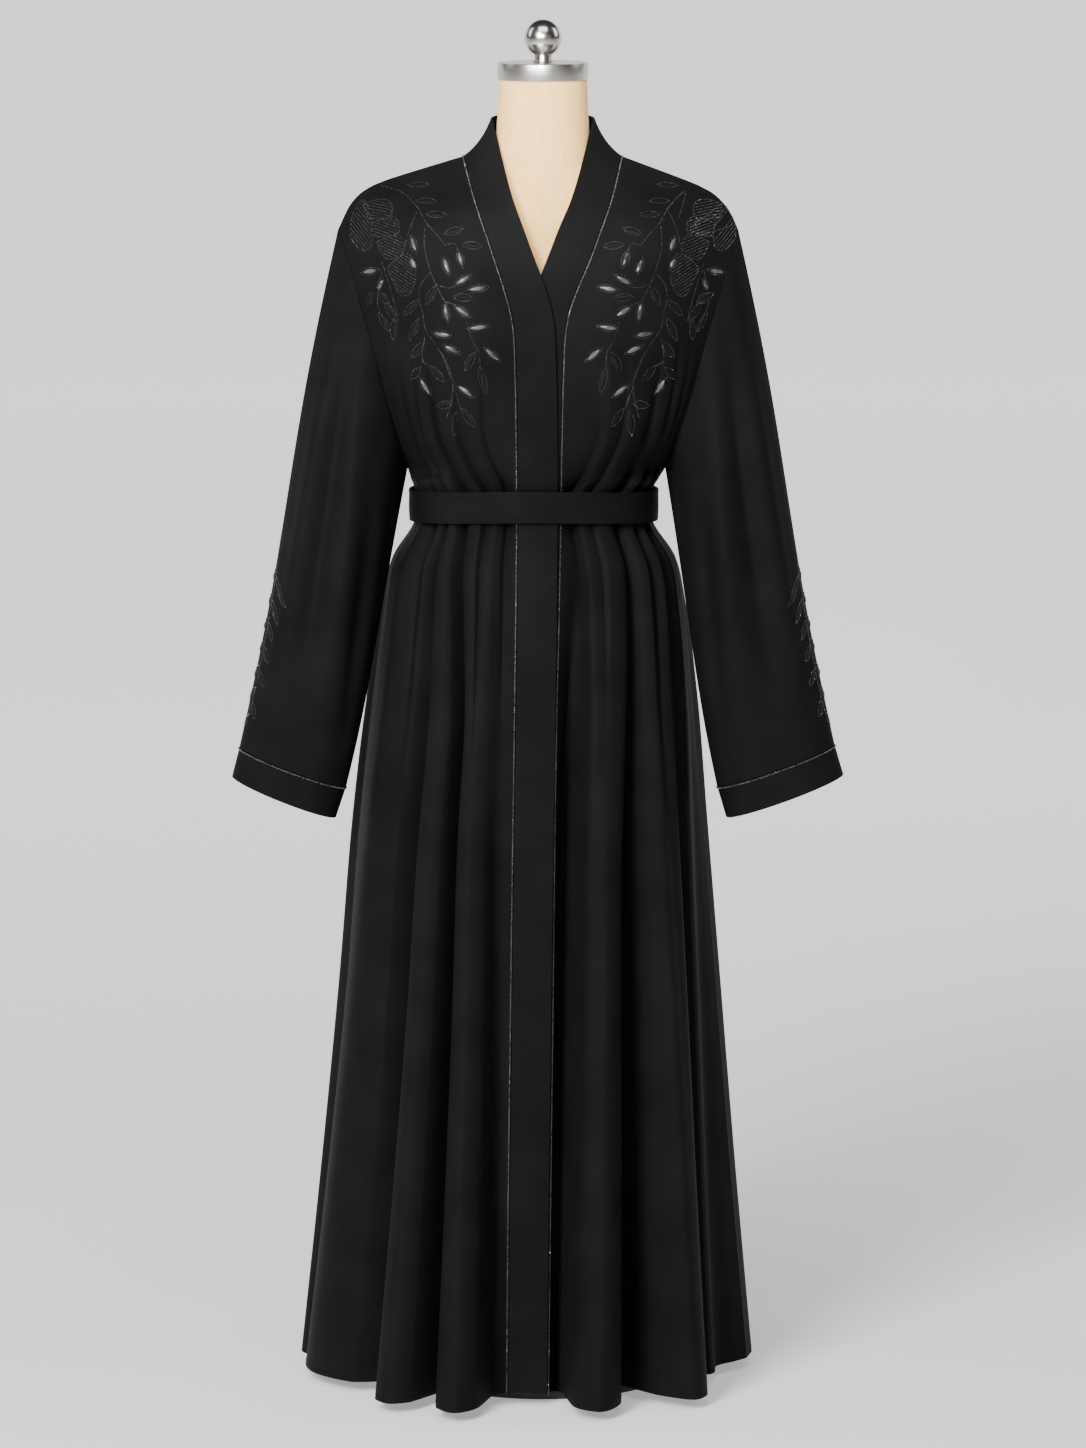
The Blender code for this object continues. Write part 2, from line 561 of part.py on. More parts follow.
def add_wall(name, outer, outward, thickness, finish, collection, closed=False):
    """A cloth wall: the outer points, and inner ones drawn in along outward, joined round the rim."""
    rows, columns = outer.shape[:2]
    inner = outer - outward * thickness
    build = bmesh.new()
    skins = []
    for points in (outer, inner):
        skins.append([[build.verts.new(p) for p in row] for row in points])
    spans = columns if closed else columns - 1
    for r in range(rows - 1):
        for c in range(spans):
            n = (c + 1) % columns
            o, i = skins
            build.faces.new((o[r][c], o[r + 1][c], o[r + 1][n], o[r][n]))
            build.faces.new((i[r][c], i[r][n], i[r + 1][n], i[r + 1][c]))
    for c in range(spans):
        n = (c + 1) % columns
        o, i = skins
        build.faces.new((o[0][c], o[0][n], i[0][n], i[0][c]))
        build.faces.new((o[-1][c], i[-1][c], i[-1][n], o[-1][n]))
    if not closed:
        for r in range(rows - 1):
            o, i = skins
            build.faces.new((o[r][0], i[r][0], i[r + 1][0], o[r + 1][0]))
            build.faces.new((o[r][-1], o[r + 1][-1], i[r + 1][-1], i[r][-1]))
    bmesh.ops.recalc_face_normals(build, faces=build.faces[:])
    mesh = bpy.data.meshes.new(name)
    build.to_mesh(mesh)
    build.free()
    return add_object(name, mesh, finish, collection)


def add_rings(name, rings, finish, collection):
    """A closed body from level rings of points, lowest first, with flat ends."""
    build = bmesh.new()
    made = [[build.verts.new(p) for p in ring] for ring in rings]
    count = len(made[0])
    for low, high in zip(made, made[1:]):
        for k in range(count):
            n = (k + 1) % count
            build.faces.new((low[k], low[n], high[n], high[k]))
    build.faces.new(made[0][::-1])
    build.faces.new(made[-1])
    bmesh.ops.recalc_face_normals(build, faces=build.faces[:])
    mesh = bpy.data.meshes.new(name)
    build.to_mesh(mesh)
    build.free()
    return add_object(name, mesh, finish, collection)


def add_turned(name, profile, finish, collection, place):
    """A turned piece: a closed profile of (radius, height), outer side top to bottom, spun by a Screw."""
    mesh = bpy.data.meshes.new(name)
    points = [(radius, 0.0, height) for radius, height in profile]
    mesh.from_pydata(points, [(k, k + 1) for k in range(len(points) - 1)], [])
    piece = bpy.data.objects.new(name, mesh)
    piece.location = place
    collection.objects.link(piece)
    screw = piece.modifiers.new("turn", "SCREW")
    screw.steps = screw.render_steps = ROUND_STEPS
    screw.use_merge_vertices = True
    screw.merge_threshold = 0.00001
    screw.use_smooth_shade = True
    mesh.materials.append(material(finish))
    return piece


def form_rings():
    """Level rings of the dress form's torso, rounder at the waist and squarer over the shoulders."""
    rows = table(FORM_COLUMNS, FORM_ROWS)
    values = np.array([[row[name] for name in FORM_COLUMNS] for row in rows])
    rings = []
    for height, half_width, front, back, squareness in values:
        ring = []
        for k in range(FORM_SEGMENTS):
            angle = 2 * math.pi * k / FORM_SEGMENTS
            power = 2 / squareness
            across = math.copysign(abs(math.cos(angle)) ** power, math.cos(angle))
            deep = math.copysign(abs(math.sin(angle)) ** power, math.sin(angle))
            depth = back if deep > 0 else front
            ring.append((FORM_X + half_width * across * MM, depth * deep * MM, height * MM))
        rings.append(ring)
    return rings


def shared_normals(grids, closed):
    """Each grid's outward normals, averaged where pieces meet, so that their walls are mitred there."""
    own = {}
    for name, grid in grids.items():
        found = normals(grid, closed=name in closed)
        middle = grid.reshape(-1, 3).mean(axis=0)
        if name.startswith(("sleeve", "cuff")):
            away = (grid - grid.mean(axis=1, keepdims=True)) * found
        else:
            away = (grid - np.array([0.0, 0.0, middle[2]])) * found
        own[name] = found if away[..., :2].sum() > 0 else -found
    met = {}
    for name, grid in grids.items():
        for point, normal in zip(grid.reshape(-1, 3), own[name].reshape(-1, 3)):
            key = tuple(np.round(point, 6))
            met[key] = met.get(key, 0.0) + normal
    for name, grid in grids.items():
        flat = own[name].reshape(-1, 3)
        for k, point in enumerate(grid.reshape(-1, 3)):
            total = met[tuple(np.round(point, 6))].copy()
            if abs(point[1]) < 1e-6 and point[2] > grids["front_right"][1, -1, 2]:
                total[1] = 0.0
            flat[k] = total / np.linalg.norm(total)
    return own


def build_cloak(collection):
    right = panel_grid(front_net(table(FOLD_COLUMNS, RIGHT_FRONT_FOLDS), -1), FRONT_FOLD_STEPS)
    left = panel_grid(front_net(table(FOLD_COLUMNS, LEFT_FRONT_FOLDS), 1), FRONT_FOLD_STEPS)
    back = panel_grid(back_net(table(FOLD_COLUMNS, BACK_FOLDS)), BACK_FOLD_STEPS)
    degrees = [fold[1] for fold in BACK_FOLDS]
    neck_right, middle, neck_left = [
        degrees.index(degree) * BACK_FOLD_STEPS
        for degree in (NECK_POINT_DEG[0], CENTRE_BACK_DEG, NECK_POINT_DEG[1])
    ]
    grids = {
        "front_right": right,
        "front_left": left,
        "back": back,
        "band_right": band_grid(right, -1, back[0, neck_right : middle + 1]),
        "band_left": band_grid(left, 1, back[0, middle : neck_left + 1][::-1]),
    }
    grids["sleeve_right"], grids["cuff_right"] = sleeve_grids(right, back[:, 0], -1)
    grids["sleeve_left"], grids["cuff_left"] = sleeve_grids(left, back[:, -1], 1)
    tubes = ("sleeve_right", "sleeve_left", "cuff_right", "cuff_left")
    outward = shared_normals(grids, tubes)
    back_top = np.full(back.shape[1], SEAM_DRAW)
    back_top[neck_right : neck_left + 1] = NECK_SEAM_DRAW
    band_sides = {}
    for name in ("band_right", "band_left"):
        band_sides[name] = np.full(len(grids[name]), SEAM_DRAW)
        band_sides[name][: -len(right)] = NECK_SEAM_DRAW
    drawn = {
        "front_right": (SEAM_DRAW, 0, SEAM_DRAW, SEAM_DRAW),
        "front_left": (SEAM_DRAW, 0, SEAM_DRAW, SEAM_DRAW),
        "back": (back_top, 0, BACK_SIDE_DRAW, BACK_SIDE_DRAW),
        "band_right": (SEAM_DRAW, 0, band_sides["band_right"], 0),
        "band_left": (SEAM_DRAW, 0, band_sides["band_left"], 0),
        "sleeve_right": (SLEEVE_DRAW, SLEEVE_DRAW, 0, 0),
        "sleeve_left": (SLEEVE_DRAW, SLEEVE_DRAW, 0, 0),
        "cuff_right": (SEAM_DRAW, 0, 0, 0),
        "cuff_left": (SEAM_DRAW, 0, 0, 0),
    }
    for name, grid in grids.items():
        thickness = BAND_CLOTH if name.startswith("band") else CLOTH
        wall = drawn_back(grid, drawn[name])
        add_wall(name, wall, outward[name], thickness, "black crepe", collection, closed=name in tubes)
    belt = belt_grid()
    out = normals(belt)
    if (out[0] * (belt[0] - belt[0].mean(axis=0))).sum() < 0:
        out = -out
    add_wall("belt", belt, out, BELT_CLOTH, "black crepe", collection)


def build_form(collection):
    rings = form_rings()
    add_rings("form_torso", rings, "cream linen", collection)
    neck_top = rings[-1][0][2]
    cap_low = neck_top + PIECE_GAP
    cap_high = cap_low + CAP_HEIGHT
    place = (FORM_X, 0.0, 0.0)
    half_edge = CAP_EDGE / 2
    cap = (
        (0.0, cap_high), (CAP_RADIUS - CAP_EDGE, cap_high), (CAP_RADIUS, cap_high - CAP_EDGE),
        (CAP_RADIUS, cap_low + half_edge), (CAP_RADIUS - half_edge, cap_low), (0.0, cap_low),
    )
    add_turned("neck_cap", cap, "brushed nickel", collection, place)
    stem_low = cap_high + PIECE_GAP
    meet = math.asin(STEM_RADIUS / BALL_RADIUS)
    centre = stem_low + STEM_HEIGHT + BALL_RADIUS * math.cos(meet)
    ball = []
    for k in range(BALL_STEPS + 1):
        angle = (math.pi - meet) * k / BALL_STEPS
        ball.append((BALL_RADIUS * math.sin(angle), centre + BALL_RADIUS * math.cos(angle)))
    finial = ball + [(STEM_RADIUS, stem_low), (0.0, stem_low)]
    add_turned("neck_finial", finial, "brushed nickel", collection, place)
    pole_high = rings[0][0][2] - PIECE_GAP
    pole_low = BASE_THICKNESS + PIECE_GAP
    pole = ((0.0, pole_high), (POLE_RADIUS, pole_high), (POLE_RADIUS, pole_low), (0.0, pole_low))
    add_turned("stand_pole", pole, "brushed nickel", collection, place)
    base = (
        (0.0, BASE_THICKNESS), (BASE_RADIUS - BASE_EDGE, BASE_THICKNESS),
        (BASE_RADIUS, BASE_THICKNESS - BASE_EDGE), (BASE_RADIUS, 0.0), (0.0, 0.0),
    )
    add_turned("stand_base", base, "black steel", collection, place)


def main():
    for thing in list(bpy.data.objects):
        bpy.data.objects.remove(thing)
    collection = bpy.data.collections.new("abaya cloak on dress form")
    bpy.context.scene.collection.children.link(collection)
    build_cloak(collection)
    build_form(collection)


main()
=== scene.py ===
# %% [markdown]
# # A long open cloak on a dress form
#
# The cloak is a wide overgarment of black crepe, open all the way down the front and held by a plain belt.
# It hangs on a padded form without arms or legs, which stands on a pole.
# The plain model that is loaded first has the right size and the main folds, but it is coarse.
# Each piece is made again here, finely, in the same place, and then gets its beads, stitches and finish.

# %% Load the plain model and keep its size
import math

import bmesh
import bpy
import numpy as np
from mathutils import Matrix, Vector
from mathutils.bvhtree import BVHTree


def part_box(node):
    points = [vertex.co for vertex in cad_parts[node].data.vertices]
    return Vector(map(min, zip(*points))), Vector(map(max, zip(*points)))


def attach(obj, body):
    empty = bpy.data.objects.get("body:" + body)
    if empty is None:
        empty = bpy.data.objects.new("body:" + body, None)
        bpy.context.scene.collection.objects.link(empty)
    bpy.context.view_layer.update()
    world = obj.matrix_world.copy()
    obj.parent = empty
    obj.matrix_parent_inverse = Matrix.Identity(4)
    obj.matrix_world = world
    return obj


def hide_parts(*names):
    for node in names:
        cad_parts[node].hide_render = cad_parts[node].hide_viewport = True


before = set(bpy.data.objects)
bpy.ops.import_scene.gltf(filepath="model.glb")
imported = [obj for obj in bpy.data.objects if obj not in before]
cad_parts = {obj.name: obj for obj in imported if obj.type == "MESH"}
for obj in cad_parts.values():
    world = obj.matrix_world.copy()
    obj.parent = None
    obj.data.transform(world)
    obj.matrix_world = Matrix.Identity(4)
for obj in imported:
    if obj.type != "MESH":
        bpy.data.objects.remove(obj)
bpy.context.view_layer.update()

MM = 0.001

# %% [markdown]
# ## The camera
#
# The garment is photographed from eight metres away, a little above its middle, with a long lens.
# From that far the shoulders and the hem keep their true proportions, which is how clothes are shown.

# %% Place the camera
PICTURE_HEIGHT = 1448
FOCAL_PIXELS = 7100
SENSOR_MM = 36
CAMERA_PLACE = Vector((0.006, -8.0, 1.948))
CAMERA_PITCH_DEG = 8.5

camera = bpy.data.objects.new("camera", bpy.data.cameras.new("camera"))
camera.data.lens = FOCAL_PIXELS / PICTURE_HEIGHT * SENSOR_MM
camera.data.sensor_width = SENSOR_MM
camera.location = CAMERA_PLACE
camera.rotation_euler = (math.radians(90 - CAMERA_PITCH_DEG), 0, 0)
bpy.context.scene.collection.objects.link(camera)
bpy.context.scene.camera = camera
print("camera lens", round(camera.data.lens, 1), "mm")

# %% [markdown]
# ## The studio
#
# A studio sweep is one sheet of paper that lies on the floor and curves up behind the garment.
# It is made from a plane: its back edge is pulled up and the bend between the two is rounded.
# The paper also glows a little, and more towards its back, so that it is evenly grey without many lamps.

# %% Helpers to select by code, as a hand would
def only(thing):
    """Deselects everything, then selects and activates one object."""
    bpy.ops.object.select_all(action="DESELECT")
    thing.select_set(True)
    bpy.context.view_layer.objects.active = thing
    return thing


def apply_all(thing):
    """Applies every modifier of an object."""
    only(thing)
    for modifier in list(thing.modifiers):
        bpy.ops.object.modifier_apply(modifier=modifier.name)


def settle(thing, name):
    """Names an object and moves its place, turn and scale into its mesh."""
    thing.name = name
    only(thing)
    bpy.ops.object.transform_apply(location=True, rotation=True, scale=True)
    return thing


def pick(thing, kind, chosen):
    """Opens a mesh for editing, with only the chosen ones of its edges or faces selected."""
    bpy.ops.object.mode_set(mode="EDIT")
    bpy.ops.mesh.select_mode(type=kind)
    bpy.ops.mesh.select_all(action="DESELECT")
    shape = bmesh.from_edit_mesh(thing.data)
    for element in shape.edges if kind == "EDGE" else shape.faces:
        element.select_set(chosen(element))
    bmesh.update_edit_mesh(thing.data)


def looks_up(face):
    return face.normal.z > 0.9


def face_counts(pieces):
    return {piece.name: len(piece.data.polygons) for piece in pieces}


def new_finish(name, colour, roughness, metallic=0.0):
    """A material with its own colour, roughness and metal value."""
    made = bpy.data.materials.new(name)
    made.use_nodes = True
    shader = made.node_tree.nodes["Principled BSDF"]
    shader.inputs["Base Color"].default_value = (*colour, 1)
    shader.inputs["Roughness"].default_value = roughness
    shader.inputs["Metallic"].default_value = metallic
    return made, made.node_tree, shader


# %% Make the sweep
SWEEP_WIDTH = 44.0
SWEEP_FRONT = -20.0
SWEEP_BACK = 16.0
SWEEP_TOP = 10.0
SWEEP_BEND = 5.0
SWEEP_BEND_STEPS = 24
PAPER_GREY = (0.80, 0.787, 0.785)
PAPER_GLOW = (0.52, 1.32)
GLOW_GROWS = (0.0, 5.0)

bpy.ops.mesh.primitive_plane_add(size=1, location=(0, (SWEEP_FRONT + SWEEP_BACK) / 2, 0))
bpy.context.object.scale = (SWEEP_WIDTH, SWEEP_BACK - SWEEP_FRONT, 1)
sweep = settle(bpy.context.object, "studio_sweep")
pick(sweep, "EDGE", lambda edge: all(corner.co.y > SWEEP_BACK - MM for corner in edge.verts))
bpy.ops.mesh.extrude_region_move(TRANSFORM_OT_translate={"value": (0, 0, SWEEP_TOP)})
bpy.ops.object.mode_set(mode="OBJECT")
bend = sweep.modifiers.new("bend", "BEVEL")
bend.width = SWEEP_BEND
bend.segments = SWEEP_BEND_STEPS
bend.limit_method = "ANGLE"
apply_all(sweep)
sweep.data.shade_smooth()
paper, tree, shader = new_finish("studio paper", PAPER_GREY, 0.95)
shader.inputs["Specular IOR Level"].default_value = 0.1
shader.inputs["Emission Color"].default_value = (*PAPER_GREY, 1)
where = tree.nodes.new("ShaderNodeTexCoord")
split = tree.nodes.new("ShaderNodeSeparateXYZ")
glow = tree.nodes.new("ShaderNodeMapRange")
glow.interpolation_type = "SMOOTHSTEP"
glow.inputs["From Min"].default_value, glow.inputs["From Max"].default_value = GLOW_GROWS
glow.inputs["To Min"].default_value, glow.inputs["To Max"].default_value = PAPER_GLOW
tree.links.new(where.outputs["Object"], split.inputs["Vector"])
tree.links.new(split.outputs["Y"], glow.inputs["Value"])
tree.links.new(glow.outputs["Result"], shader.inputs["Emission Strength"])
sweep.data.materials.append(paper)
print("sweep faces", len(sweep.data.polygons))

# %% [markdown]
# ## The lights
#
# Black cloth shows its folds only by the soft light that they return, so the lamps are large and near the
# camera's left: the sides of the folds that face left are light and the hollows stay dark.
# A weaker panel fills the right, and one lamp each side of the form lights the paper behind it. A narrow spot
# adds light to the pale neck and to nothing else.

# %% Hang the lamps
def hang(lamp, place, aim):
    """Puts a lamp into the scene at place, pointing at aim."""
    thing = bpy.data.objects.new(lamp.name, lamp)
    thing.location = place
    thing.rotation_euler = (Vector(aim) - Vector(place)).to_track_quat("-Z", "Y").to_euler()
    bpy.context.scene.collection.objects.link(thing)


WORLD_LIGHT = 0.04
SOFT_BOXES = (
    ("key_light", (-1.8, -4.0, 3.1), (0.0, 0.0, 1.0), 1.4, 2.2, 375),
    ("fill_light", (3.6, -4.4, 1.8), (0.0, 0.0, 0.8), 2.0, 2.6, 4),
    ("top_light", (0.0, -1.6, 4.2), (0.0, 0.0, 1.0), 2.4, 1.6, 62),
    ("paper_light_left", (-3.6, 0.6, 3.2), (-0.6, 3.2, 1.2), 1.6, 2.4, 42),
    ("paper_light_right", (3.6, 0.6, 3.2), (0.6, 3.2, 1.2), 1.6, 2.4, 46),
)
NECK_LIGHT = 1700
NECK_LIGHT_DEG = 5.2
NECK_LIGHT_RADIUS = 0.12
NECK_LIGHT_PLACE = (-0.35, -4.6, 2.7)
NECK_LIGHT_AIM = (0.006, -0.05, 1.455)
world = bpy.data.worlds.new("studio air")
world.use_nodes = True
world.node_tree.nodes["Background"].inputs["Color"].default_value = (1.0, 0.99, 0.985, 1)
world.node_tree.nodes["Background"].inputs["Strength"].default_value = WORLD_LIGHT
bpy.context.scene.world = world
for name, place, aim, width, height, power in SOFT_BOXES:
    lamp = bpy.data.lights.new(name, "AREA")
    lamp.shape = "RECTANGLE"
    lamp.size, lamp.size_y = width, height
    lamp.energy = power
    hang(lamp, place, aim)

snoot = bpy.data.lights.new("neck_light", "SPOT")
snoot.energy = NECK_LIGHT
snoot.spot_size = math.radians(NECK_LIGHT_DEG)
snoot.spot_blend = 1.0
snoot.shadow_soft_size = NECK_LIGHT_RADIUS
hang(snoot, NECK_LIGHT_PLACE, NECK_LIGHT_AIM)
print("lamps", len(SOFT_BOXES) + 1)

# %% [markdown]
# ## The finishes
#
# Crepe has a pebbled face, because its yarns are twisted hard and shrink unevenly. Two sizes of noise give
# the pebbles and the faint cloudiness, and a little sheen gives the soft light edge that wool-like cloth has.
# The linen of the form is an even basket weave, so its bump comes from two crossed waves.

# %% Helpers for patterns
def pattern_space(tree, scale=(1, 1, 1), source="Object"):
    """Coordinates that lie still on the piece, with a scale along each axis."""
    place = tree.nodes.new("ShaderNodeTexCoord")
    mapping = tree.nodes.new("ShaderNodeMapping")
    mapping.inputs["Scale"].default_value = scale
    tree.links.new(place.outputs[source], mapping.inputs["Vector"])
    return mapping.outputs["Vector"]


def noise(tree, size, detail=2.0, stretch=(1, 1, 1)):
    """A cloudy pattern whose lumps are about size wide, in metres."""
    texture = tree.nodes.new("ShaderNodeTexNoise")
    texture.inputs["Scale"].default_value = 1 / size
    texture.inputs["Detail"].default_value = detail
    tree.links.new(pattern_space(tree, stretch), texture.inputs["Vector"])
    return texture.outputs["Fac"]


def waves(tree, pitch, direction, source="Object"):
    """Straight bands, pitch apart in metres, across the X, Y or Z direction."""
    texture = tree.nodes.new("ShaderNodeTexWave")
    texture.bands_direction = direction
    texture.inputs["Scale"].default_value = 1 / pitch * math.pi / 10
    tree.links.new(pattern_space(tree, source=source), texture.inputs["Vector"])
    return texture.outputs["Fac"]


def vary_colour(tree, shader, factor, dark, light):
    """The base colour runs from dark to light as the factor goes from a third to two thirds."""
    ramp = tree.nodes.new("ShaderNodeValToRGB")
    for stop, position, colour in zip(ramp.color_ramp.elements, (0.33, 0.67), (dark, light)):
        stop.position = position
        stop.color = (*colour, 1)
    tree.links.new(factor, ramp.inputs["Fac"])
    tree.links.new(ramp.outputs["Color"], shader.inputs["Base Color"])


def vary_roughness(tree, shader, factor, low, high):
    """The roughness runs from low to high with the factor."""
    change = tree.nodes.new("ShaderNodeMapRange")
    change.inputs["To Min"].default_value = low
    change.inputs["To Max"].default_value = high
    tree.links.new(factor, change.inputs["Value"])
    tree.links.new(change.outputs["Result"], shader.inputs["Roughness"])


def emboss(tree, shader, height, depth, strength=1.0):
    """Bump from a pattern, on top of any that the shader already has."""
    bump = tree.nodes.new("ShaderNodeBump")
    bump.inputs["Distance"].default_value = depth
    bump.inputs["Strength"].default_value = strength
    tree.links.new(height, bump.inputs["Height"])
    before = shader.inputs["Normal"].links
    if before:
        tree.links.new(before[0].from_socket, bump.inputs["Normal"])
    tree.links.new(bump.outputs["Normal"], shader.inputs["Normal"])


# %% Mix the finishes
crepe, tree, shader = new_finish("black crepe", (0.012, 0.012, 0.013), 0.6)
vary_colour(tree, shader, noise(tree, 60 * MM, 3), (0.0064, 0.0064, 0.0065), (0.0086, 0.0086, 0.0087))
vary_roughness(tree, shader, noise(tree, 1.6 * MM), 0.56, 0.70)
emboss(tree, shader, noise(tree, 0.7 * MM), 0.10 * MM, 0.5)
emboss(tree, shader, noise(tree, 2.4 * MM), 0.12 * MM, 0.35)
shader.inputs["Specular IOR Level"].default_value = 0.03
shader.inputs["Sheen Weight"].default_value = 0.003
shader.inputs["Sheen Roughness"].default_value = 0.5

linen, tree, shader = new_finish("cream linen", (0.80, 0.68, 0.50), 0.85)
vary_colour(tree, shader, noise(tree, 9 * MM, 4, (1, 1, 0.25)), (0.98, 0.57, 0.19), (1.0, 0.63, 0.25))
shader.inputs["Specular IOR Level"].default_value = 0.2
emboss(tree, shader, waves(tree, 0.9 * MM, "Z"), 0.08 * MM, 0.5)
emboss(tree, shader, waves(tree, 0.9 * MM, "X"), 0.08 * MM, 0.5)
emboss(tree, shader, noise(tree, 1.2 * MM), 0.1 * MM, 0.4)
shader.inputs["Sheen Weight"].default_value = 0.1

nickel, tree, shader = new_finish("brushed nickel", (0.55, 0.53, 0.50), 0.3, 1.0)
brushing = noise(tree, 40 * MM, 3, (1, 1, 90))
vary_colour(tree, shader, brushing, (0.50, 0.48, 0.455), (0.60, 0.58, 0.55))
vary_roughness(tree, shader, brushing, 0.24, 0.38)
emboss(tree, shader, brushing, 0.02 * MM, 0.6)

polished, tree, shader = new_finish("satin nickel", (0.56, 0.54, 0.52), 0.22, 1.0)
vary_roughness(tree, shader, noise(tree, 3 * MM, 3), 0.18, 0.27)
emboss(tree, shader, noise(tree, 0.8 * MM), 0.01 * MM, 0.4)

painted, tree, shader = new_finish("black steel", (0.03, 0.03, 0.03), 0.45, 0.6)
vary_roughness(tree, shader, noise(tree, 4 * MM, 4), 0.38, 0.55)
emboss(tree, shader, noise(tree, 1.1 * MM, 3), 0.05 * MM, 0.4)

jet, tree, shader = new_finish("jet glass beads", (0.02, 0.02, 0.02), 0.14, 0.3)
vary_colour(tree, shader, noise(tree, 3.0 * MM, 1), (0.013, 0.013, 0.013), (0.088, 0.088, 0.088))

steel, tree, shader = new_finish("grey glass beads", (0.08, 0.08, 0.08), 0.15, 0.35)
vary_colour(tree, shader, noise(tree, 3.0 * MM, 1), (0.03, 0.03, 0.03), (0.20, 0.20, 0.20))

smoke, tree, shader = new_finish("smoky grey stones", (0.12, 0.12, 0.12), 0.30, 0.2)
vary_colour(tree, shader, noise(tree, 14 * MM, 1), (0.022, 0.022, 0.022), (0.105, 0.105, 0.103))
shader.inputs["Coat Weight"].default_value = 0.35
shader.inputs["Coat Roughness"].default_value = 0.10

silk, tree, shader = new_finish("black silk thread", (0.004, 0.004, 0.004), 0.42)
emboss(tree, shader, waves(tree, 0.9 * MM, "X", "UV"), 0.15 * MM, 0.8)
vary_roughness(tree, shader, noise(tree, 2 * MM), 0.40, 0.55)
shader.inputs["Specular IOR Level"].default_value = 0.12
print("finishes", [made.name for made in bpy.data.materials if made.users])

# %% [markdown]
# ## The cut of the cloak
#
# A cutter thinks of the cloak in sections: the shoulder seam, the chest, the underarm, the belt and the hem.
# Each line below is one section, in millimetres. Between them the cloth runs in smooth curves.
# The bodice lines give the band seam, the armhole seam and the centre back. The skirt lines give an oval.

# %% Sections of the bodice and the skirt
BODICE_COLUMNS = (
    "row", "seam_x_right", "seam_x_left", "seam_y", "seam_z",
    "arm_x_right", "arm_x_left", "arm_y", "arm_z", "bulge", "back_y", "back_z", "gather",
    "front_spread", "front_ease", "back_spread",
)
BODICE_ROWS = (
    ("shoulder", -83.0, 94.0, 0.0, 1399.5, -225.0, 226.0, 0.0, 1317.0, 0.0,
     66.0, 1401.0, 0.00, 1.00, 0.00, 0.0),
    ("collarbone", -70.0, 82.0, -66.0, 1357.0, -214.0, 217.0, 29.0, 1290.0, 8.0,
     90.0, 1362.0, 0.00, 1.00, 0.00, 0.0),
    ("chest", -50.0, 61.0, -101.0, 1300.0, -201.0, 203.0, 50.0, 1243.0, 10.0,
     108.0, 1303.0, 0.00, 0.90, 0.30, 0.1),
    ("bust", -28.0, 33.0, -119.0, 1228.0, -186.0, 187.0, 62.0, 1190.0, 10.0,
     114.0, 1237.0, 0.05, 0.67, 0.45, 0.3),
    ("under_bust", -23.5, 27.5, -125.0, 1160.0, -172.0, 173.0, 58.0, 1135.0, 9.0,
     112.0, 1167.0, 0.22, 0.60, 0.50, 0.5),
    ("blouse", -22.5, 26.0, -123.0, 1100.0, -158.0, 157.0, 39.0, 1083.0, 7.0,
     108.0, 1105.0, 0.50, 0.56, 0.50, 0.55),
    ("underarm", -22.0, 25.0, -115.0, 1060.0, -149.0, 146.0, 0.0, 1046.0, 3.0,
     104.0, 1060.0, 0.80, 0.67, 0.51, 0.5),
)
SKIRT_COLUMNS = (
    "row", "height", "front_lift", "half_width", "front_depth", "back_depth", "centre_x",
    "seam_x_right", "seam_x_left", "centre_front_y",
)
SKIRT_ROWS = (
    ("blouse_edge", 1036.0, 8.0, 143.0, 110.0, 107.5, -3.0, -22.0, 25.0, -108.0),
    ("belt_top", 1021.5, 8.0, 136.5, 103.0, 102.0, -4.5, -22.0, 25.0, -101.5),
    ("belt_bottom", 985.0, 8.0, 136.5, 103.0, 102.0, -4.5, -22.0, 24.5, -101.5),
    ("flare", 944.0, 6.0, 162.0, 123.0, 119.0, -4.0, -22.3, 23.5, -119.0),
    ("high_hip", 888.0, 4.0, 175.0, 141.0, 136.0, -4.0, -22.8, 22.5, -132.0),
    ("hip", 780.0, 2.0, 191.5, 167.0, 160.0, -6.0, -24.3, 20.5, -145.0),
    ("thigh", 640.0, 1.0, 206.0, 191.0, 184.0, -8.5, -26.5, 18.5, -154.0),
    ("knee", 455.0, 0.0, 222.0, 217.0, 209.0, -8.5, -29.0, 16.5, -163.0),
    ("shin", 240.0, 0.0, 242.0, 243.0, 233.0, -10.0, -31.5, 14.0, -173.0),
    ("hem", 12.0, 0.0, 265.0, 266.0, 256.3, -11.7, -33.6, 11.5, -182.0),
)
BELT_CENTRE_X = -4.5 * MM
SHOULDER_DROP = {"right": 39.3, "left": 33.4}
SHOULDER_DROP_POWER = 9
SHOULDER_HANG = 21.0
SHOULDER_HANG_POWER = 5
FRONT_TURN_POWER = 2.4
BELT_SWING_POWER = 0.6
BACK_TURN_POWER = 2.6
HEM_FRONT_RISE = 6.0
HEM_RISE_DEG = 11.0
BAND_HEM_RISE = 3.6
LEFT_FRONT_SETBACK = 4.0
LEFT_SETBACK_FROM_ROW = 3
print("sections", len(BODICE_ROWS) + len(SKIRT_ROWS))

# %% [markdown]
# ## The folds
#
# Pleats are laid in at the belt and open into deep rolls at the hem. Each line is one crest or one hollow:
# where it starts at the belt and ends at the hem, as an angle from the centre front round to the centre
# back, and how far it stands out from the oval at the belt, the hip and the hem.

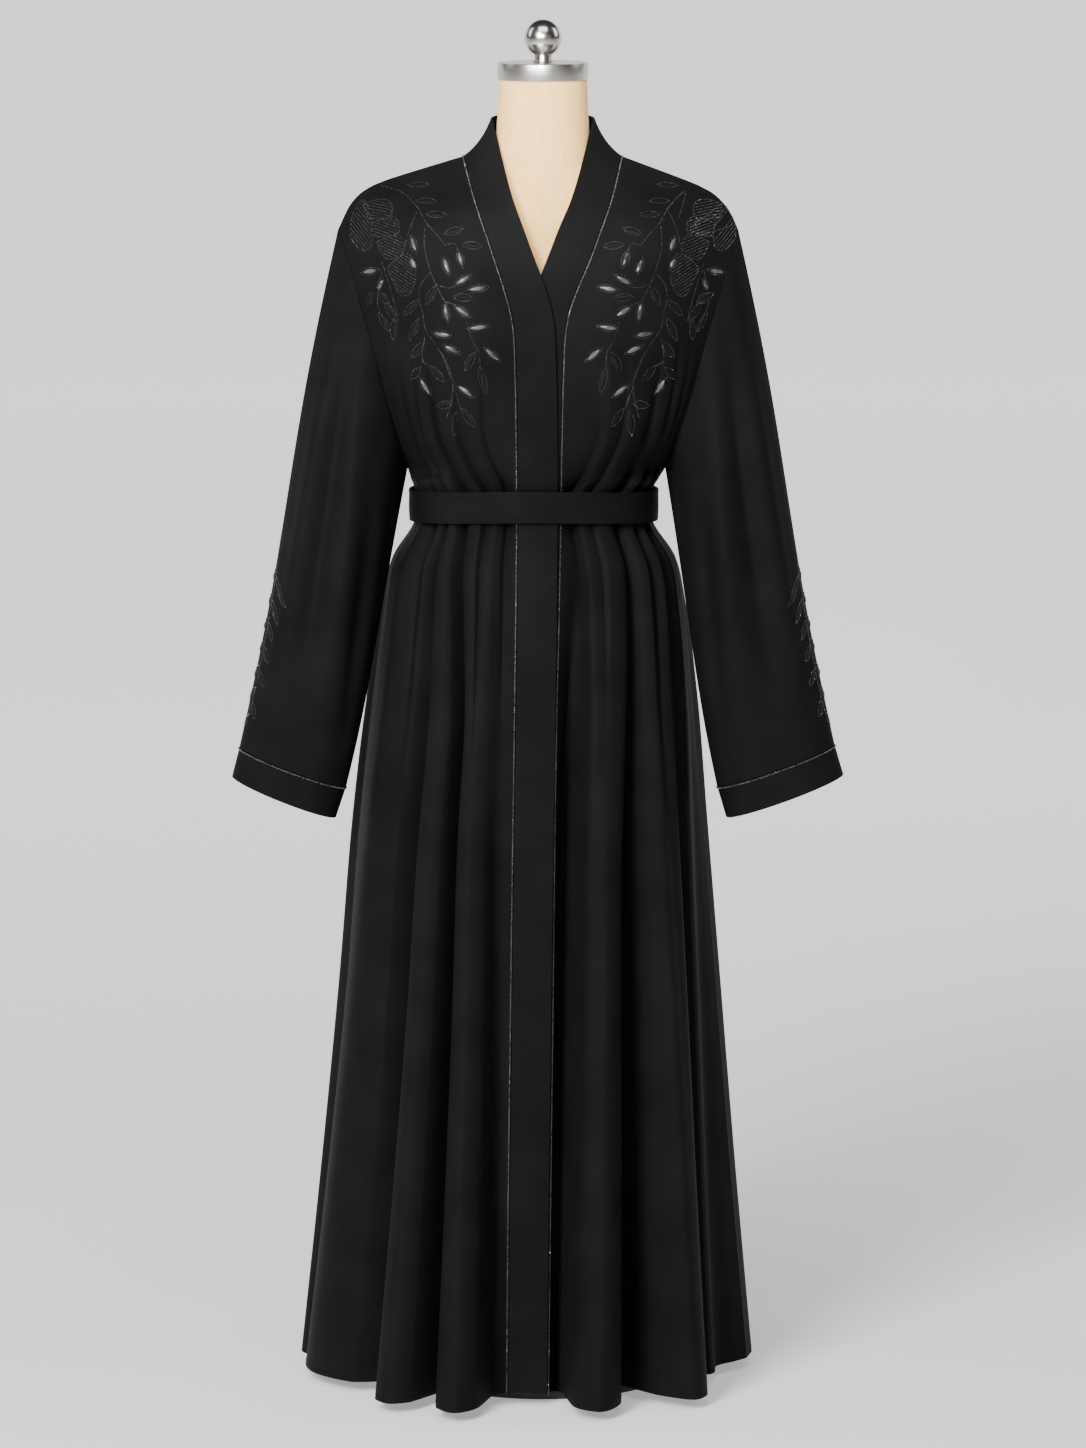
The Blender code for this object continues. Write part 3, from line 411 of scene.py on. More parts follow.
# %% Folds of the three panels
FOLD_COLUMNS = ("fold", "belt_deg", "hip_deg", "hem_deg", "belt", "hip", "hem")
RIGHT_FRONT_FOLDS = (
    ("band_seam", 7.0, 6.5, 4.6, 0, 0, 0),
    ("front_hollow", 14.5, 11.9, 11.5, -7, -17, -88),
    ("inner_fold_start", 18.5, 15.9, 13.6, -3, -5, -14),
    ("inner_fold", 25.0, 19.9, 17.5, 0, 0, 8),
    ("inner_fold_end", 33.0, 23.5, 23.5, -1, -3, -8),
    ("deep_hollow", 38.5, 27.3, 30.5, -9, -25, -86),
    ("middle_fold_start", 40.5, 29.6, 32.0, -3, -6, -18),
    ("middle_fold", 43.0, 33.6, 36.0, 0, 0, 3),
    ("middle_fold_end", 45.5, 38.3, 43.0, -1, -3, -10),
    ("wide_hollow", 48.0, 42.8, 51.5, -9, -22, -68),
    ("outer_fold_start", 52.0, 46.9, 58.0, -1, -8, -40),
    ("short_pleat", 61.0, 51.6, 65.0, -7, -9, -24),
    ("outer_fold", 67.0, 61.6, 75.0, 0, -4, -9),
    ("outer_fold_end", 75.0, 72.9, 84.0, -2, -9, -8),
    ("side_turn", 82.0, 82.6, 88.5, -2, -10, -14),
    ("side_seam", 90.0, 90.3, 91.5, -2, -9, -20),
)
LEFT_FRONT_FOLDS = (
    ("band_seam", 11.5, 10.9, 8.6, 0, 0, 0),
    ("front_hollow", 21.5, 19.6, 12.4, -9, -24, -86),
    ("inner_fold_start", 24.5, 21.5, 13.2, -3, -6, -20),
    ("inner_fold", 33.0, 28.0, 19.0, 0, 0, 6),
    ("inner_fold_end", 42.0, 34.5, 26.5, -2, -3, -12),
    ("deep_hollow", 48.0, 40.5, 36.6, -9, -25, -88),
    ("middle_fold_start", 51.0, 43.5, 40.0, -2, -8, -30),
    ("middle_fold", 55.0, 47.0, 43.5, 0, 0, 9),
    ("short_pleat", 60.5, 51.0, 47.5, -8, -3, 8),
    ("middle_fold_end", 65.0, 56.0, 51.5, 0, -1, -5),
    ("side_hollow", 71.0, 63.5, 60.5, -9, -20, -60),
    ("small_fold", 76.0, 70.1, 70.5, -2, -9, -40),
    ("small_hollow", 82.0, 80.0, 80.0, -3, -11, -44),
    ("side_turn", 86.0, 86.0, 86.0, -2, -10, -26),
    ("side_seam", 90.0, 90.0, 90.0, -2, -9, -12),
)
BACK_FOLDS = (
    ("side_seam", 90.0, 90.3, 91.5, -2, -9, -20),
    ("side_fold", 98.0, 98.0, 98.0, 0, 0, 0),
    ("side_fold_end", 104.0, 104.4, 106.0, -1, -3, -8),
    ("hollow_1", 110.0, 110.8, 114.0, -9, -22, -72),
    ("fold_1_start", 115.0, 115.4, 117.0, -2, -6, -16),
    ("fold_1", 121.0, 121.6, 124.0, 0, 0, 4),
    ("fold_1_end", 128.0, 128.6, 131.0, -1, -3, -12),
    ("hollow_2", 134.0, 134.9, 138.5, -9, -24, -84),
    ("fold_2_start", 140.0, 140.4, 142.0, -2, -6, -14),
    ("fold_2", 147.0, 147.4, 149.0, 0, 0, 8),
    ("fold_2_end", 154.0, 154.5, 156.5, -1, -3, -10),
    ("hollow_3", 161.0, 161.6, 164.0, -9, -24, -86),
    ("fold_3_start", 167.0, 167.2, 168.0, -2, -6, -16),
    ("fold_3", 173.5, 173.8, 175.0, 0, 0, 6),
    ("fold_3_end", 180.0, 180.4, 182.0, -1, -3, -10),
    ("hollow_4", 187.0, 187.6, 190.0, -9, -24, -82),
    ("fold_4_start", 193.5, 193.8, 195.0, -2, -6, -16),
    ("fold_4", 203.0, 203.2, 204.0, 0, 0, 7),
    ("fold_4_end", 213.0, 213.0, 213.0, -1, -4, -12),
    ("hollow_5", 220.0, 220.2, 221.0, -9, -22, -78),
    ("fold_5_start", 226.0, 225.9, 225.5, -2, -6, -18),
    ("fold_5", 233.0, 233.0, 233.0, 0, 0, 5),
    ("fold_5_end", 240.0, 240.2, 241.0, -1, -3, -12),
    ("hollow_6", 246.5, 246.8, 248.0, -8, -20, -64),
    ("fold_6_start", 252.0, 252.0, 252.0, -2, -5, -18),
    ("fold_6", 260.0, 260.0, 260.0, 0, 0, -2),
    ("side_seam", 270.0, 270.0, 270.0, -2, -9, -12),
)
NECK_POINT_DEG = (147.0, 213.0)
CENTRE_BACK_DEG = 180.0
print("folds", len(RIGHT_FRONT_FOLDS), len(LEFT_FRONT_FOLDS), len(BACK_FOLDS))

# %% [markdown]
# ## Smooth cloth from a few lines
#
# Cloth has no corners, so a curve is led through the points of the tables, first round the body and then
# down it. A plain spline would swing out where points lie close together. Spacing the points by the square
# root of their distance keeps the curve calm there.

# %% Curve and grid helpers
def table(columns, rows):
    """Rows of values as dictionaries by column name."""
    return [dict(zip(columns, row)) for row in rows]


def through(points, spacing, steps):
    """Points on a smooth curve through the given ones (first axis), with steps[i] of them in span i."""
    points = np.asarray(points, float)
    spacing = np.asarray(spacing, float)
    while spacing.ndim < points.ndim:
        spacing = spacing[..., None]
    slope = np.diff(points, axis=0) / spacing
    inner = (slope[:-1] * spacing[1:] + slope[1:] * spacing[:-1]) / (spacing[:-1] + spacing[1:])
    tangent = np.concatenate([slope[:1], inner, slope[-1:]])
    found = []
    for i, count in enumerate(steps):
        for share in np.arange(count) / count:
            a, b = share * share, share * share * share
            found.append(
                (2 * b - 3 * a + 1) * points[i]
                + (b - 2 * a + share) * spacing[i] * tangent[i]
                + (3 * a - 2 * b) * points[i + 1]
                + (b - a) * spacing[i] * tangent[i + 1]
            )
    found.append(points[-1])
    return np.array(found)


def chords(points):
    """The spacing for through(): the square root of each distance."""
    return np.sqrt(np.maximum(np.linalg.norm(np.diff(points, axis=0), axis=-1), 1e-6))


def unit(vectors):
    """The same directions, all of length 1."""
    return vectors / np.maximum(np.linalg.norm(vectors, axis=-1, keepdims=True), 1e-12)


def normals(grid, closed=False):
    """The way that the cloth faces at each point of a grid."""
    down = np.gradient(grid, axis=0)
    if closed:
        across = (np.roll(grid, -1, axis=1) - np.roll(grid, 1, axis=1)) / 2
    else:
        across = np.gradient(grid, axis=1)
    return unit(np.cross(down, across))


def ease(share):
    """A share from 0 to 1 that starts and ends gently."""
    share = min(max(share, 0.0), 1.0)
    return share * share * (3 - 2 * share)


def mix(one, other, share):
    return one * (1 - share) + other * share


BODICE = table(BODICE_COLUMNS, BODICE_ROWS)
SKIRT = table(SKIRT_COLUMNS, SKIRT_ROWS)
LEVEL = {row["row"]: row["height"] for row in SKIRT}
ROW_HEIGHTS = [row["arm_z"] for row in BODICE] + [row["height"] for row in SKIRT]
ROW_SPACING = np.sqrt(np.abs(np.diff(ROW_HEIGHTS)) * MM)
# How many rows of fine points each section gets, and how many columns each fold.
BODICE_STEPS = [12, 12, 12, 6, 6, 6]
SKIRT_STEPS = [3, 3, 5, 6, 8, 12, 14, 16, 18, 19]
ROW_STEPS = BODICE_STEPS + SKIRT_STEPS
FOLD_STEPS = 8
ARMHOLE_SAMPLES = sum(BODICE_STEPS) + 1
print("rows of fine points", sum(ROW_STEPS) + 1)

# %% [markdown]
# ## Where a point of the cloth lies
#
# On the bodice a point lies part of the way from the band seam to the armhole. Below the belt it lies on
# the section's oval, pushed in or out by its fold. The fronts and the back use the same rules, so they
# meet at the side and shoulder seams.

# %% Points of the bodice and the skirt
def shoulder_point(share, side):
    """A point on the shoulder seam, from the neck (0) to the tip (1)."""
    row = BODICE[0]
    name = "right" if side < 0 else "left"
    x = mix(row[f"seam_x_{name}"], row[f"arm_x_{name}"], share)
    drop = SHOULDER_DROP[name]
    z = mix(row["seam_z"], row["arm_z"] + drop, share) - drop * share**SHOULDER_DROP_POWER
    return np.array([x, 0.0, z])


def way_down(height, start, end):
    """The share of the way from one section down to another, from 0 to 1."""
    return min(max((LEVEL[start] - height) / (LEVEL[start] - LEVEL[end]), 0.0), 1.0)


def fold_reach(fold, height):
    """How far a fold stands out from the skirt's section at a level."""
    if height >= LEVEL["hip"]:
        return mix(fold["belt"], fold["hip"], ease(way_down(height, "belt_bottom", "hip")))
    return mix(fold["hip"], fold["hem"], way_down(height, "hip", "hem"))


def fold_angle(fold, height):
    """A fold's angle from the centre front. It swings fast just below the belt, so that it hangs straight."""
    if height >= LEVEL["hip"]:
        swing = way_down(height, "belt_bottom", "hip") ** BELT_SWING_POWER
        return math.radians(mix(fold["belt_deg"], fold["hip_deg"], swing))
    return math.radians(mix(fold["hip_deg"], fold["hem_deg"], way_down(height, "hip", "hem")))


def skirt_point(row, fold, side):
    """A fold's point at one level of the skirt. side is -1 for angles that run to the wearer's right."""
    angle = fold_angle(fold, row["height"])
    depth = row["front_depth"] if math.cos(angle) > 0 else row["back_depth"]
    reach = fold_reach(fold, row["height"])
    x = row["centre_x"] + side * (row["half_width"] + reach) * math.sin(angle)
    y = -(depth + reach) * math.cos(angle)
    z = row["height"] + row["front_lift"] * max(math.cos(angle), 0.0) ** 2
    if row["row"] == "hem":
        z += HEM_FRONT_RISE * max(0.0, 1 - math.degrees(angle) / HEM_RISE_DEG)
    return np.array([x, y, z])


def seam_setback(index, side):
    """The left front lies under the right band, so it is set back below the neck."""
    return LEFT_FRONT_SETBACK if side > 0 and index >= LEFT_SETBACK_FROM_ROW else 0.0


def shoulder_hang(index, share):
    """How much the section below the shoulder seam is lifted between the neck and the armhole."""
    return SHOULDER_HANG * (share - share**SHOULDER_HANG_POWER) if index == 1 else 0.0


# %% The nets of the fronts and the back
EDGE_SWING_DEG = 2.8
EDGE_SWING_EARLY = 0.6
NECK_CENTRE_X = 5.8


def leaning(fold, row, first, last):
    """A fold of a front, swung outwards at the edge above the belt, where the pleats already lean."""
    if row["row"] != "blouse_edge":
        return fold
    share = (fold["belt_deg"] - first) / (last - first)
    swing = EDGE_SWING_DEG * math.sin(math.pi * share**EDGE_SWING_EARLY)
    return {**fold, "belt_deg": fold["belt_deg"] + swing}


def front_net(folds, side):
    """Points of a front panel, from its band seam to its side, for every section."""
    name = "right" if side < 0 else "left"
    first, last = folds[0]["belt_deg"], folds[-1]["belt_deg"]
    net = []
    for index, row in enumerate(BODICE):
        points = []
        for fold in folds:
            share = (fold["belt_deg"] - first) / (last - first)
            share = share ** (row["front_spread"] - row["front_ease"] * share)
            if index == 0:
                points.append(shoulder_point(share, side))
                continue
            x = mix(row[f"seam_x_{name}"], row[f"arm_x_{name}"], share)
            turn = share**FRONT_TURN_POWER
            start_y = row["seam_y"] + seam_setback(index, side)
            y = start_y * (1 - turn) - row["arm_y"] * turn - row["bulge"] * 4 * share * (1 - share)
            z = mix(row["seam_z"], row["arm_z"], share) + shoulder_hang(index, share)
            out = share * math.pi / 2
            push = fold["belt"] * row["gather"]
            points.append(np.array([x + side * push * math.sin(out), y - push * math.cos(out), z]))
        net.append(points)
    for row in SKIRT:
        points = [skirt_point(row, leaning(fold, row, first, last), side) for fold in folds]
        back_by = seam_setback(len(BODICE), side)
        points[0] = np.array([row[f"seam_x_{name}"], row["centre_front_y"] + back_by, points[0][2]])
        net.append(points)
    return np.array(net) * MM


def back_net(folds):
    """Points of the back, from the right side seam round to the left one, for every section."""
    net = []
    for index, row in enumerate(BODICE):
        points = []
        for fold in folds:
            off = fold["belt_deg"] - CENTRE_BACK_DEG
            side = -1 if off < 0 else 1
            name = "right" if side < 0 else "left"
            share = abs(off) / 90
            neck = abs(NECK_POINT_DEG[0] - CENTRE_BACK_DEG) / 90
            if index == 0 and share >= neck:
                points.append(shoulder_point((share - neck) / (1 - neck), side))
                continue
            if index == 0:
                around = share / neck * math.pi / 2
                reach_x = abs(row[f"seam_x_{name}"] - NECK_CENTRE_X)
                x = NECK_CENTRE_X + side * reach_x * math.sin(around)
                points.append(np.array([x, row["back_y"] * math.cos(around), row["back_z"]]))
                continue
            share += (math.sin(share * math.pi / 2) - share) * row["back_spread"]
            x = mix(NECK_CENTRE_X, row[f"arm_x_{name}"], share)
            y = mix(row["back_y"], row["arm_y"], share**BACK_TURN_POWER)
            z = mix(row["back_z"], row["arm_z"], share) + shoulder_hang(index, share)
            out = share * math.pi / 2
            push = fold["belt"] * row["gather"]
            points.append(np.array([x + side * push * math.sin(out), y + push * math.cos(out), z]))
        net.append(points)
    for row in SKIRT:
        net.append([skirt_point(row, fold, -1) for fold in folds])
    return np.array(net) * MM


def panel_grid(net):
    """A panel's fine points: across its folds first, then down its sections."""
    turned = np.swapaxes(net, 0, 1)
    across = through(turned, chords(turned), [FOLD_STEPS] * (net.shape[1] - 1))
    return through(np.swapaxes(across, 0, 1), ROW_SPACING, ROW_STEPS)


grids = {
    "front_right": panel_grid(front_net(table(FOLD_COLUMNS, RIGHT_FRONT_FOLDS), -1)),
    "front_left": panel_grid(front_net(table(FOLD_COLUMNS, LEFT_FRONT_FOLDS), 1)),
    "back": panel_grid(back_net(table(FOLD_COLUMNS, BACK_FOLDS))),
}
print({name: grid.shape[:2] for name, grid in grids.items()})

# %% [markdown]
# ## Pressed pleats at the belt
#
# The belt holds the cloth in small pleats. A pleat is a fold that laps over its neighbour, so the cloth sinks
# slowly towards it on one side and jumps back up on the other. The pleats are deepest at the belt. They run
# out as straight lines, up to the bust and down to the thighs. Five creases press the hollows between the
# rolls deeper below the belt, so that they lie in shadow as far as the hem.

# %% Press the pleats in
PLEAT_COLUMNS = ("panel", "fold", "shift", "depth", "soft", "sharp", "above", "below")
PLEATS = (
    ("front_right", "front_hollow", 0.0, 7.0, 1.0, 0.2, 0.8, 0.9),
    ("front_right", "inner_fold", 0.0, 9.0, 1.1, 0.14, 1.0, 0.7),
    ("front_right", "deep_hollow", 0.0, 10.0, 1.5, 0.3, 1.0, 0.8),
    ("front_right", "wide_hollow", 0.0, 9.0, 1.3, 0.3, 1.0, 0.9),
    ("front_right", "short_pleat", 0.0, 6.0, 1.0, 0.2, 0.5, 1.0),
    ("front_left", "front_hollow", 0.0, 8.0, 0.9, 0.3, 0.9, 0.9),
    ("front_left", "inner_fold", -0.2, 9.0, 1.1, 0.14, 1.0, 0.7),
    ("front_left", "deep_hollow", 0.0, 10.0, 1.5, 0.3, 1.0, 0.8),
    ("front_left", "short_pleat", 0.0, 9.0, 1.2, 0.2, 1.0, 0.9),
    ("back", "hollow_1", 0.0, 7.5, 1.8, 0.2, 0.8, 1.0),
    ("back", "hollow_2", 0.0, 8.5, 1.8, 0.2, 1.0, 0.9),
    ("back", "hollow_3", 0.0, 8.5, 1.8, 0.2, 1.0, 0.9),
    ("back", "hollow_4", 0.0, 8.5, 1.8, 0.2, 1.0, 0.9),
    ("back", "hollow_5", 0.0, 8.5, 1.8, 0.2, 1.0, 0.9),
    ("back", "hollow_6", 0.0, 7.5, 1.6, 0.2, 0.8, 1.0),
)
PLEAT_ENDS_ABOVE = "bust"
PLEAT_ENDS_BELOW = "thigh"
PLEAT_HOLDS = 0.6
PLEAT_FALL_POWER = 1.6
CREASE_COLUMNS = ("panel", "inner_edge", "deep_from", "deep_to", "outer_edge", "depth", "starts", "full")
CREASES = (
    ("front_left", 0.0, 5.0, 6.0, 14.0, 36.0, "flare", "thigh"),
    ("front_left", 22.0, 39.0, 44.0, 47.0, 28.0, "high_hip", "knee"),
    ("front_left", 74.0, 80.0, 84.0, 87.0, 16.0, "high_hip", "knee"),
    ("front_right", 33.0, 40.0, 45.5, 48.0, 36.0, "high_hip", "knee"),
    ("front_right", 62.0, 71.0, 74.0, 82.0, 26.0, "high_hip", "knee"),
)
PANEL_FOLDS = {"front_right": RIGHT_FRONT_FOLDS, "front_left": LEFT_FRONT_FOLDS, "back": BACK_FOLDS}
row_starts = np.concatenate([[0], np.cumsum(ROW_STEPS)])
row_names = [row["row"] for row in BODICE] + [row["row"] for row in SKIRT]
row_of = dict(zip(row_names, row_starts))


def pleat_strength(row, above, below):
    """How deep a pleat is at a row of fine points: full at the belt, nothing at both ends."""
    top, bottom = row_of[PLEAT_ENDS_ABOVE], row_of[PLEAT_ENDS_BELOW]
    belt_top, belt_bottom = row_of["belt_top"], row_of["belt_bottom"]
    if row <= belt_top:
        return above * ease((row - top) / (belt_top - top)) ** PLEAT_HOLDS
    if row >= belt_bottom:
        return below * ease((bottom - row) / (bottom - belt_bottom))
    return mix(above, below, (row - belt_top) / (belt_bottom - belt_top))


def pleat_shape(columns, centre, soft, sharp):
    """The sunk profile across the columns: a slow fall away from the centre front, then a jump back up."""
    off = columns - centre
    slow = np.clip(1 + off / soft, 0, 1) ** PLEAT_FALL_POWER
    jump = np.clip(1 - off / sharp, 0, 1)
    return np.where(off < 0, slow, jump)


def sink(grid, depth, strength, profile):
    """Moves the cloth in towards the body's middle, by depth times a share for each row and column."""
    away = unit((grid - np.array([BELT_CENTRE_X, 0.0, 0.0])) * (1, 1, 0))
    grid -= away * (depth * MM * strength[:, None] * profile[None, :])[..., None]


for pleat in table(PLEAT_COLUMNS, PLEATS):
    panel = pleat["panel"]
    grid = grids[panel]
    fold_names = [fold[0] for fold in PANEL_FOLDS[panel]]
    centre = (fold_names.index(pleat["fold"]) + pleat["shift"]) * FOLD_STEPS
    soft, sharp = pleat["soft"] * FOLD_STEPS, max(pleat["sharp"] * FOLD_STEPS, 1.0)
    profile = pleat_shape(np.arange(grid.shape[1]), round(centre), soft, sharp)
    profile[[0, -1]] = 0
    strength = np.array([pleat_strength(row, pleat["above"], pleat["below"]) for row in range(len(grid))])
    sink(grid, pleat["depth"], strength, profile)

for crease in table(CREASE_COLUMNS, CREASES):
    grid = grids[crease["panel"]]
    marks = [crease[name] for name in ("inner_edge", "deep_from", "deep_to", "outer_edge")]
    profile = np.interp(np.arange(grid.shape[1]), marks, [0, 1, 1, 0])
    first, last = row_of[crease["starts"]], row_of[crease["full"]]
    strength = np.array([ease((row - first) / (last - first)) for row in range(len(grid))])
    sink(grid, crease["depth"], strength, profile)
print("pleats", len(PLEATS), "creases", len(CREASES))

# %% [markdown]
# ## The front bands
#
# Each front ends in a straight band of double cloth that runs from the hem up to the shoulder, rounds the
# neck as a low collar and meets the other band at the centre back. The right band laps over the left one.

# %% Points of the two bands
BAND_EDGE_COLUMNS = ("row", "right", "left", "crown")
BAND_EDGES = (
    ("shoulder", (-52.5, 0.0, 1442.0), (64.0, 0.0, 1442.0), -4.5),
    ("collarbone", (-32.0, -71.0, 1370.0), (42.5, -71.0, 1370.0), -1.5),
    ("chest", (-11.5, -101.5, 1314.0), (20.0, -97.0, 1316.0), 0.5),
    ("bust", (16.0, -119.5, 1235.5), (-10.0, -114.5, 1233.0), 1.2),
    ("under_bust", (21.2, -125.5, 1160.0), (-17.5, -121.0, 1160.0), 1.2),
    ("blouse", (22.2, -123.5, 1100.0), (-18.5, -119.0, 1100.0), 1.2),
    ("underarm", (22.6, -115.2, 1060.0), (-19.0, -111.0, 1060.0), 1.2),
)
BAND_WIDTH = 44.5
BAND_CROWN = 1.2
BAND_ACROSS = 8
COLLAR_BACK_EDGE = (5.8, 58.5, 1447.0)


def band_grid(front, side, neck_seam):
    """A front band from the centre back of the neck to the hem, from its seam to its free edge."""
    key = "right" if side < 0 else "left"
    edges = [np.array(row[key]) for row in table(BAND_EDGE_COLUMNS, BAND_EDGES)]
    back_by = seam_setback(len(BODICE), side)
    for row in SKIRT:
        x = row[f"seam_x_{key}"] - side * BAND_WIDTH
        z = row["height"] + row["front_lift"] + (BAND_HEM_RISE if row["row"] == "hem" else 0.0)
        edges.append(np.array([x, row["centre_front_y"] + back_by, z]))
    edge = through(np.array(edges) * MM, ROW_SPACING, ROW_STEPS)
    crowns = [[row["crown"]] for row in table(BAND_EDGE_COLUMNS, BAND_EDGES)] + [[BAND_CROWN]] * len(SKIRT)
    crown = through(crowns, ROW_SPACING, ROW_STEPS) * MM
    top = np.array(COLLAR_BACK_EDGE) * MM
    shoulder = edge[0]
    collar = []
    for point in neck_seam[1:][::-1]:
        around = math.atan2(point[1], abs(point[0] - top[0]))
        share = around / (math.pi / 2)
        x = top[0] + (shoulder[0] - top[0]) * math.cos(around)
        collar.append([x, top[1] * math.sin(around), mix(shoulder[2], top[2], share)])
    seam = np.concatenate([neck_seam[1:][::-1], front[:, 0]])
    edge = np.concatenate([np.array(collar), edge])
    crown = np.concatenate([np.repeat(crown[:1], len(collar), axis=0), crown])
    share = (np.arange(BAND_ACROSS + 1) / BAND_ACROSS)[None, :, None]
    grid = mix(seam[:, None], edge[:, None], share)
    outward = normals(grid) * (1 if side < 0 else -1)
    rise = edge[0] - seam[0]
    outward[0] = np.array([0.0, rise[2], -rise[1]]) / np.linalg.norm(rise)
    return grid + outward * crown[:, None] * 4 * share * (1 - share)


back_degrees = [fold[1] for fold in BACK_FOLDS]
neck_right, centre_back, neck_left = [
    back_degrees.index(degree) * FOLD_STEPS
    for degree in (NECK_POINT_DEG[0], CENTRE_BACK_DEG, NECK_POINT_DEG[1])
]
back_top = grids["back"][0]
grids["band_right"] = band_grid(grids["front_right"], -1, back_top[neck_right : centre_back + 1])
grids["band_left"] = band_grid(grids["front_left"], 1, back_top[centre_back : neck_left + 1][::-1])
print("bands", grids["band_right"].shape[:2], grids["band_left"].shape[:2])

# %% [markdown]
# ## The sleeves
#
# A sleeve starts as the armhole's loop and ends as a slanting oval at the cuff seam. Row by row it turns
# from one into the other, hangs a little forward, and carries a few soft folds that start at the shoulder
# and fade towards the cuff. The cuff is a short tube of its own below that seam.

# %% Points of the sleeves and cuffs
SLEEVE_RINGS = {
    "right": (
        {"outer": (338.3, 732.2), "inner": (217.3, 686.8), "y": -38.0, "half_depth": 43.0},
        {"outer": (347.0, 698.3), "inner": (229.1, 651.4), "y": -40.0, "half_depth": 43.0},
    ),
    "left": (
        {"outer": (336.8, 735.0), "inner": (203.5, 687.0), "y": -38.0, "half_depth": 43.0},
        {"outer": (347.0, 700.6), "inner": (214.0, 651.7), "y": -40.0, "half_depth": 43.0},
    ),
}
SLEEVE_ALONG = 84
CUFF_ALONG = 6
SLEEVE_INNER_BOW = 3.0
SLEEVE_OUTER_BOW = 3.0
SLEEVE_DEPTH_BOW = 7.0
SLEEVE_FORWARD_BOW = 13.0
SLEEVE_FOLD_GROWS_OVER = 0.35
SLEEVE_FOLD_FADES_FROM = 0.55
SLEEVE_FOLD_FADES_BY = 0.9
SLEEVE_FOLD_COLUMNS = ("around_deg", "width_deg", "depth", "from_share")
SLEEVE_FOLDS = (
    (52.0, 14.0, 6.5, 0.05),
    (84.0, 14.0, -8.5, 0.02),
    (118.0, 15.0, 6.5, 0.10),
    (146.0, 12.0, -6.0, 0.15),
    (232.0, 15.0, -5.0, 0.10),
    (268.0, 18.0, 5.0, 0.05),
    (306.0, 15.0, -5.0, 0.05),
)


def ring_of(ring, angles, side):
    """Points of a sleeve's oval: 0 degrees at the outer edge, 90 in front, 180 inside."""
    outer, inner = np.array(ring["outer"]), np.array(ring["inner"])
    centre, half = (outer + inner) / 2, (outer - inner) / 2
    points = []
    for angle in angles:
        along = centre + half * math.cos(angle)
        points.append([side * along[0], ring["y"] - ring["half_depth"] * math.sin(angle), along[1]])
    return np.array(points) * MM


def sleeve_row(loop, seam, angles, share, side):
    """One row of a sleeve, share of the way from the armhole to the cuff seam."""
    row = mix(loop, seam, share)
    middle = row.mean(axis=0)
    faded = ease((share - SLEEVE_FOLD_FADES_FROM) / (1 - SLEEVE_FOLD_FADES_FROM))
    for k, angle in enumerate(angles):
        inner = ((1 - math.cos(angle)) / 2) ** 2
        outer = ((1 + math.cos(angle)) / 2) ** 2
        row[k, 0] -= side * SLEEVE_INNER_BOW * MM * inner * math.sin(math.pi * share**2)
        row[k, 0] += side * SLEEVE_OUTER_BOW * MM * outer * math.sin(2 * math.pi * share)
        deeper = SLEEVE_DEPTH_BOW * math.sin(angle) + SLEEVE_FORWARD_BOW
        row[k, 1] -= deeper * MM * math.sin(math.pi * share)
        push = 0.0
        for fold in table(SLEEVE_FOLD_COLUMNS, SLEEVE_FOLDS):
            off = (math.degrees(angle) - fold["around_deg"]) / fold["width_deg"]
            grown = ease((share - fold["from_share"]) / SLEEVE_FOLD_GROWS_OVER)
            push += fold["depth"] * math.exp(-off * off) * grown * (1 - SLEEVE_FOLD_FADES_BY * faded)
        out = (row[k] - middle) * (1, 1, 0)
        row[k] += out / np.linalg.norm(out) * push * MM
    return row


def sleeve_grids(front, back_edge, side):
    """The sleeve from the armhole to the cuff seam, and the cuff below it."""
    loop = np.concatenate([front[:ARMHOLE_SAMPLES, -1], back_edge[:ARMHOLE_SAMPLES][::-1][1:-1]])
    angles = [2 * math.pi * k / len(loop) for k in range(len(loop))]
    seam, end = [ring_of(ring, angles, side) for ring in SLEEVE_RINGS["right" if side < 0 else "left"]]
    shares = np.arange(SLEEVE_ALONG + 1) / SLEEVE_ALONG
    sleeve = np.array([sleeve_row(loop, seam, angles, share, side) for share in shares])
    down = (np.arange(CUFF_ALONG + 1) / CUFF_ALONG)[:, None, None]
    return sleeve, mix(seam, end, down)


grids["sleeve_right"], grids["cuff_right"] = sleeve_grids(grids["front_right"], grids["back"][:, 0], -1)
grids["sleeve_left"], grids["cuff_left"] = sleeve_grids(grids["front_left"], grids["back"][:, -1], 1)
TUBES = ("sleeve_right", "sleeve_left", "cuff_right", "cuff_left")
print("sleeves", grids["sleeve_right"].shape[:2])

# %% [markdown]
# ## From points to cloth with two faces
#
# A sheet without thickness looks like paper at its hem. Each panel therefore gets an inner face, moved in
# along its own direction, and the two are joined by a rounded edge, as a turned hem is.
# Where panels meet, their directions are averaged, so the seam closes neatly instead of gaping.

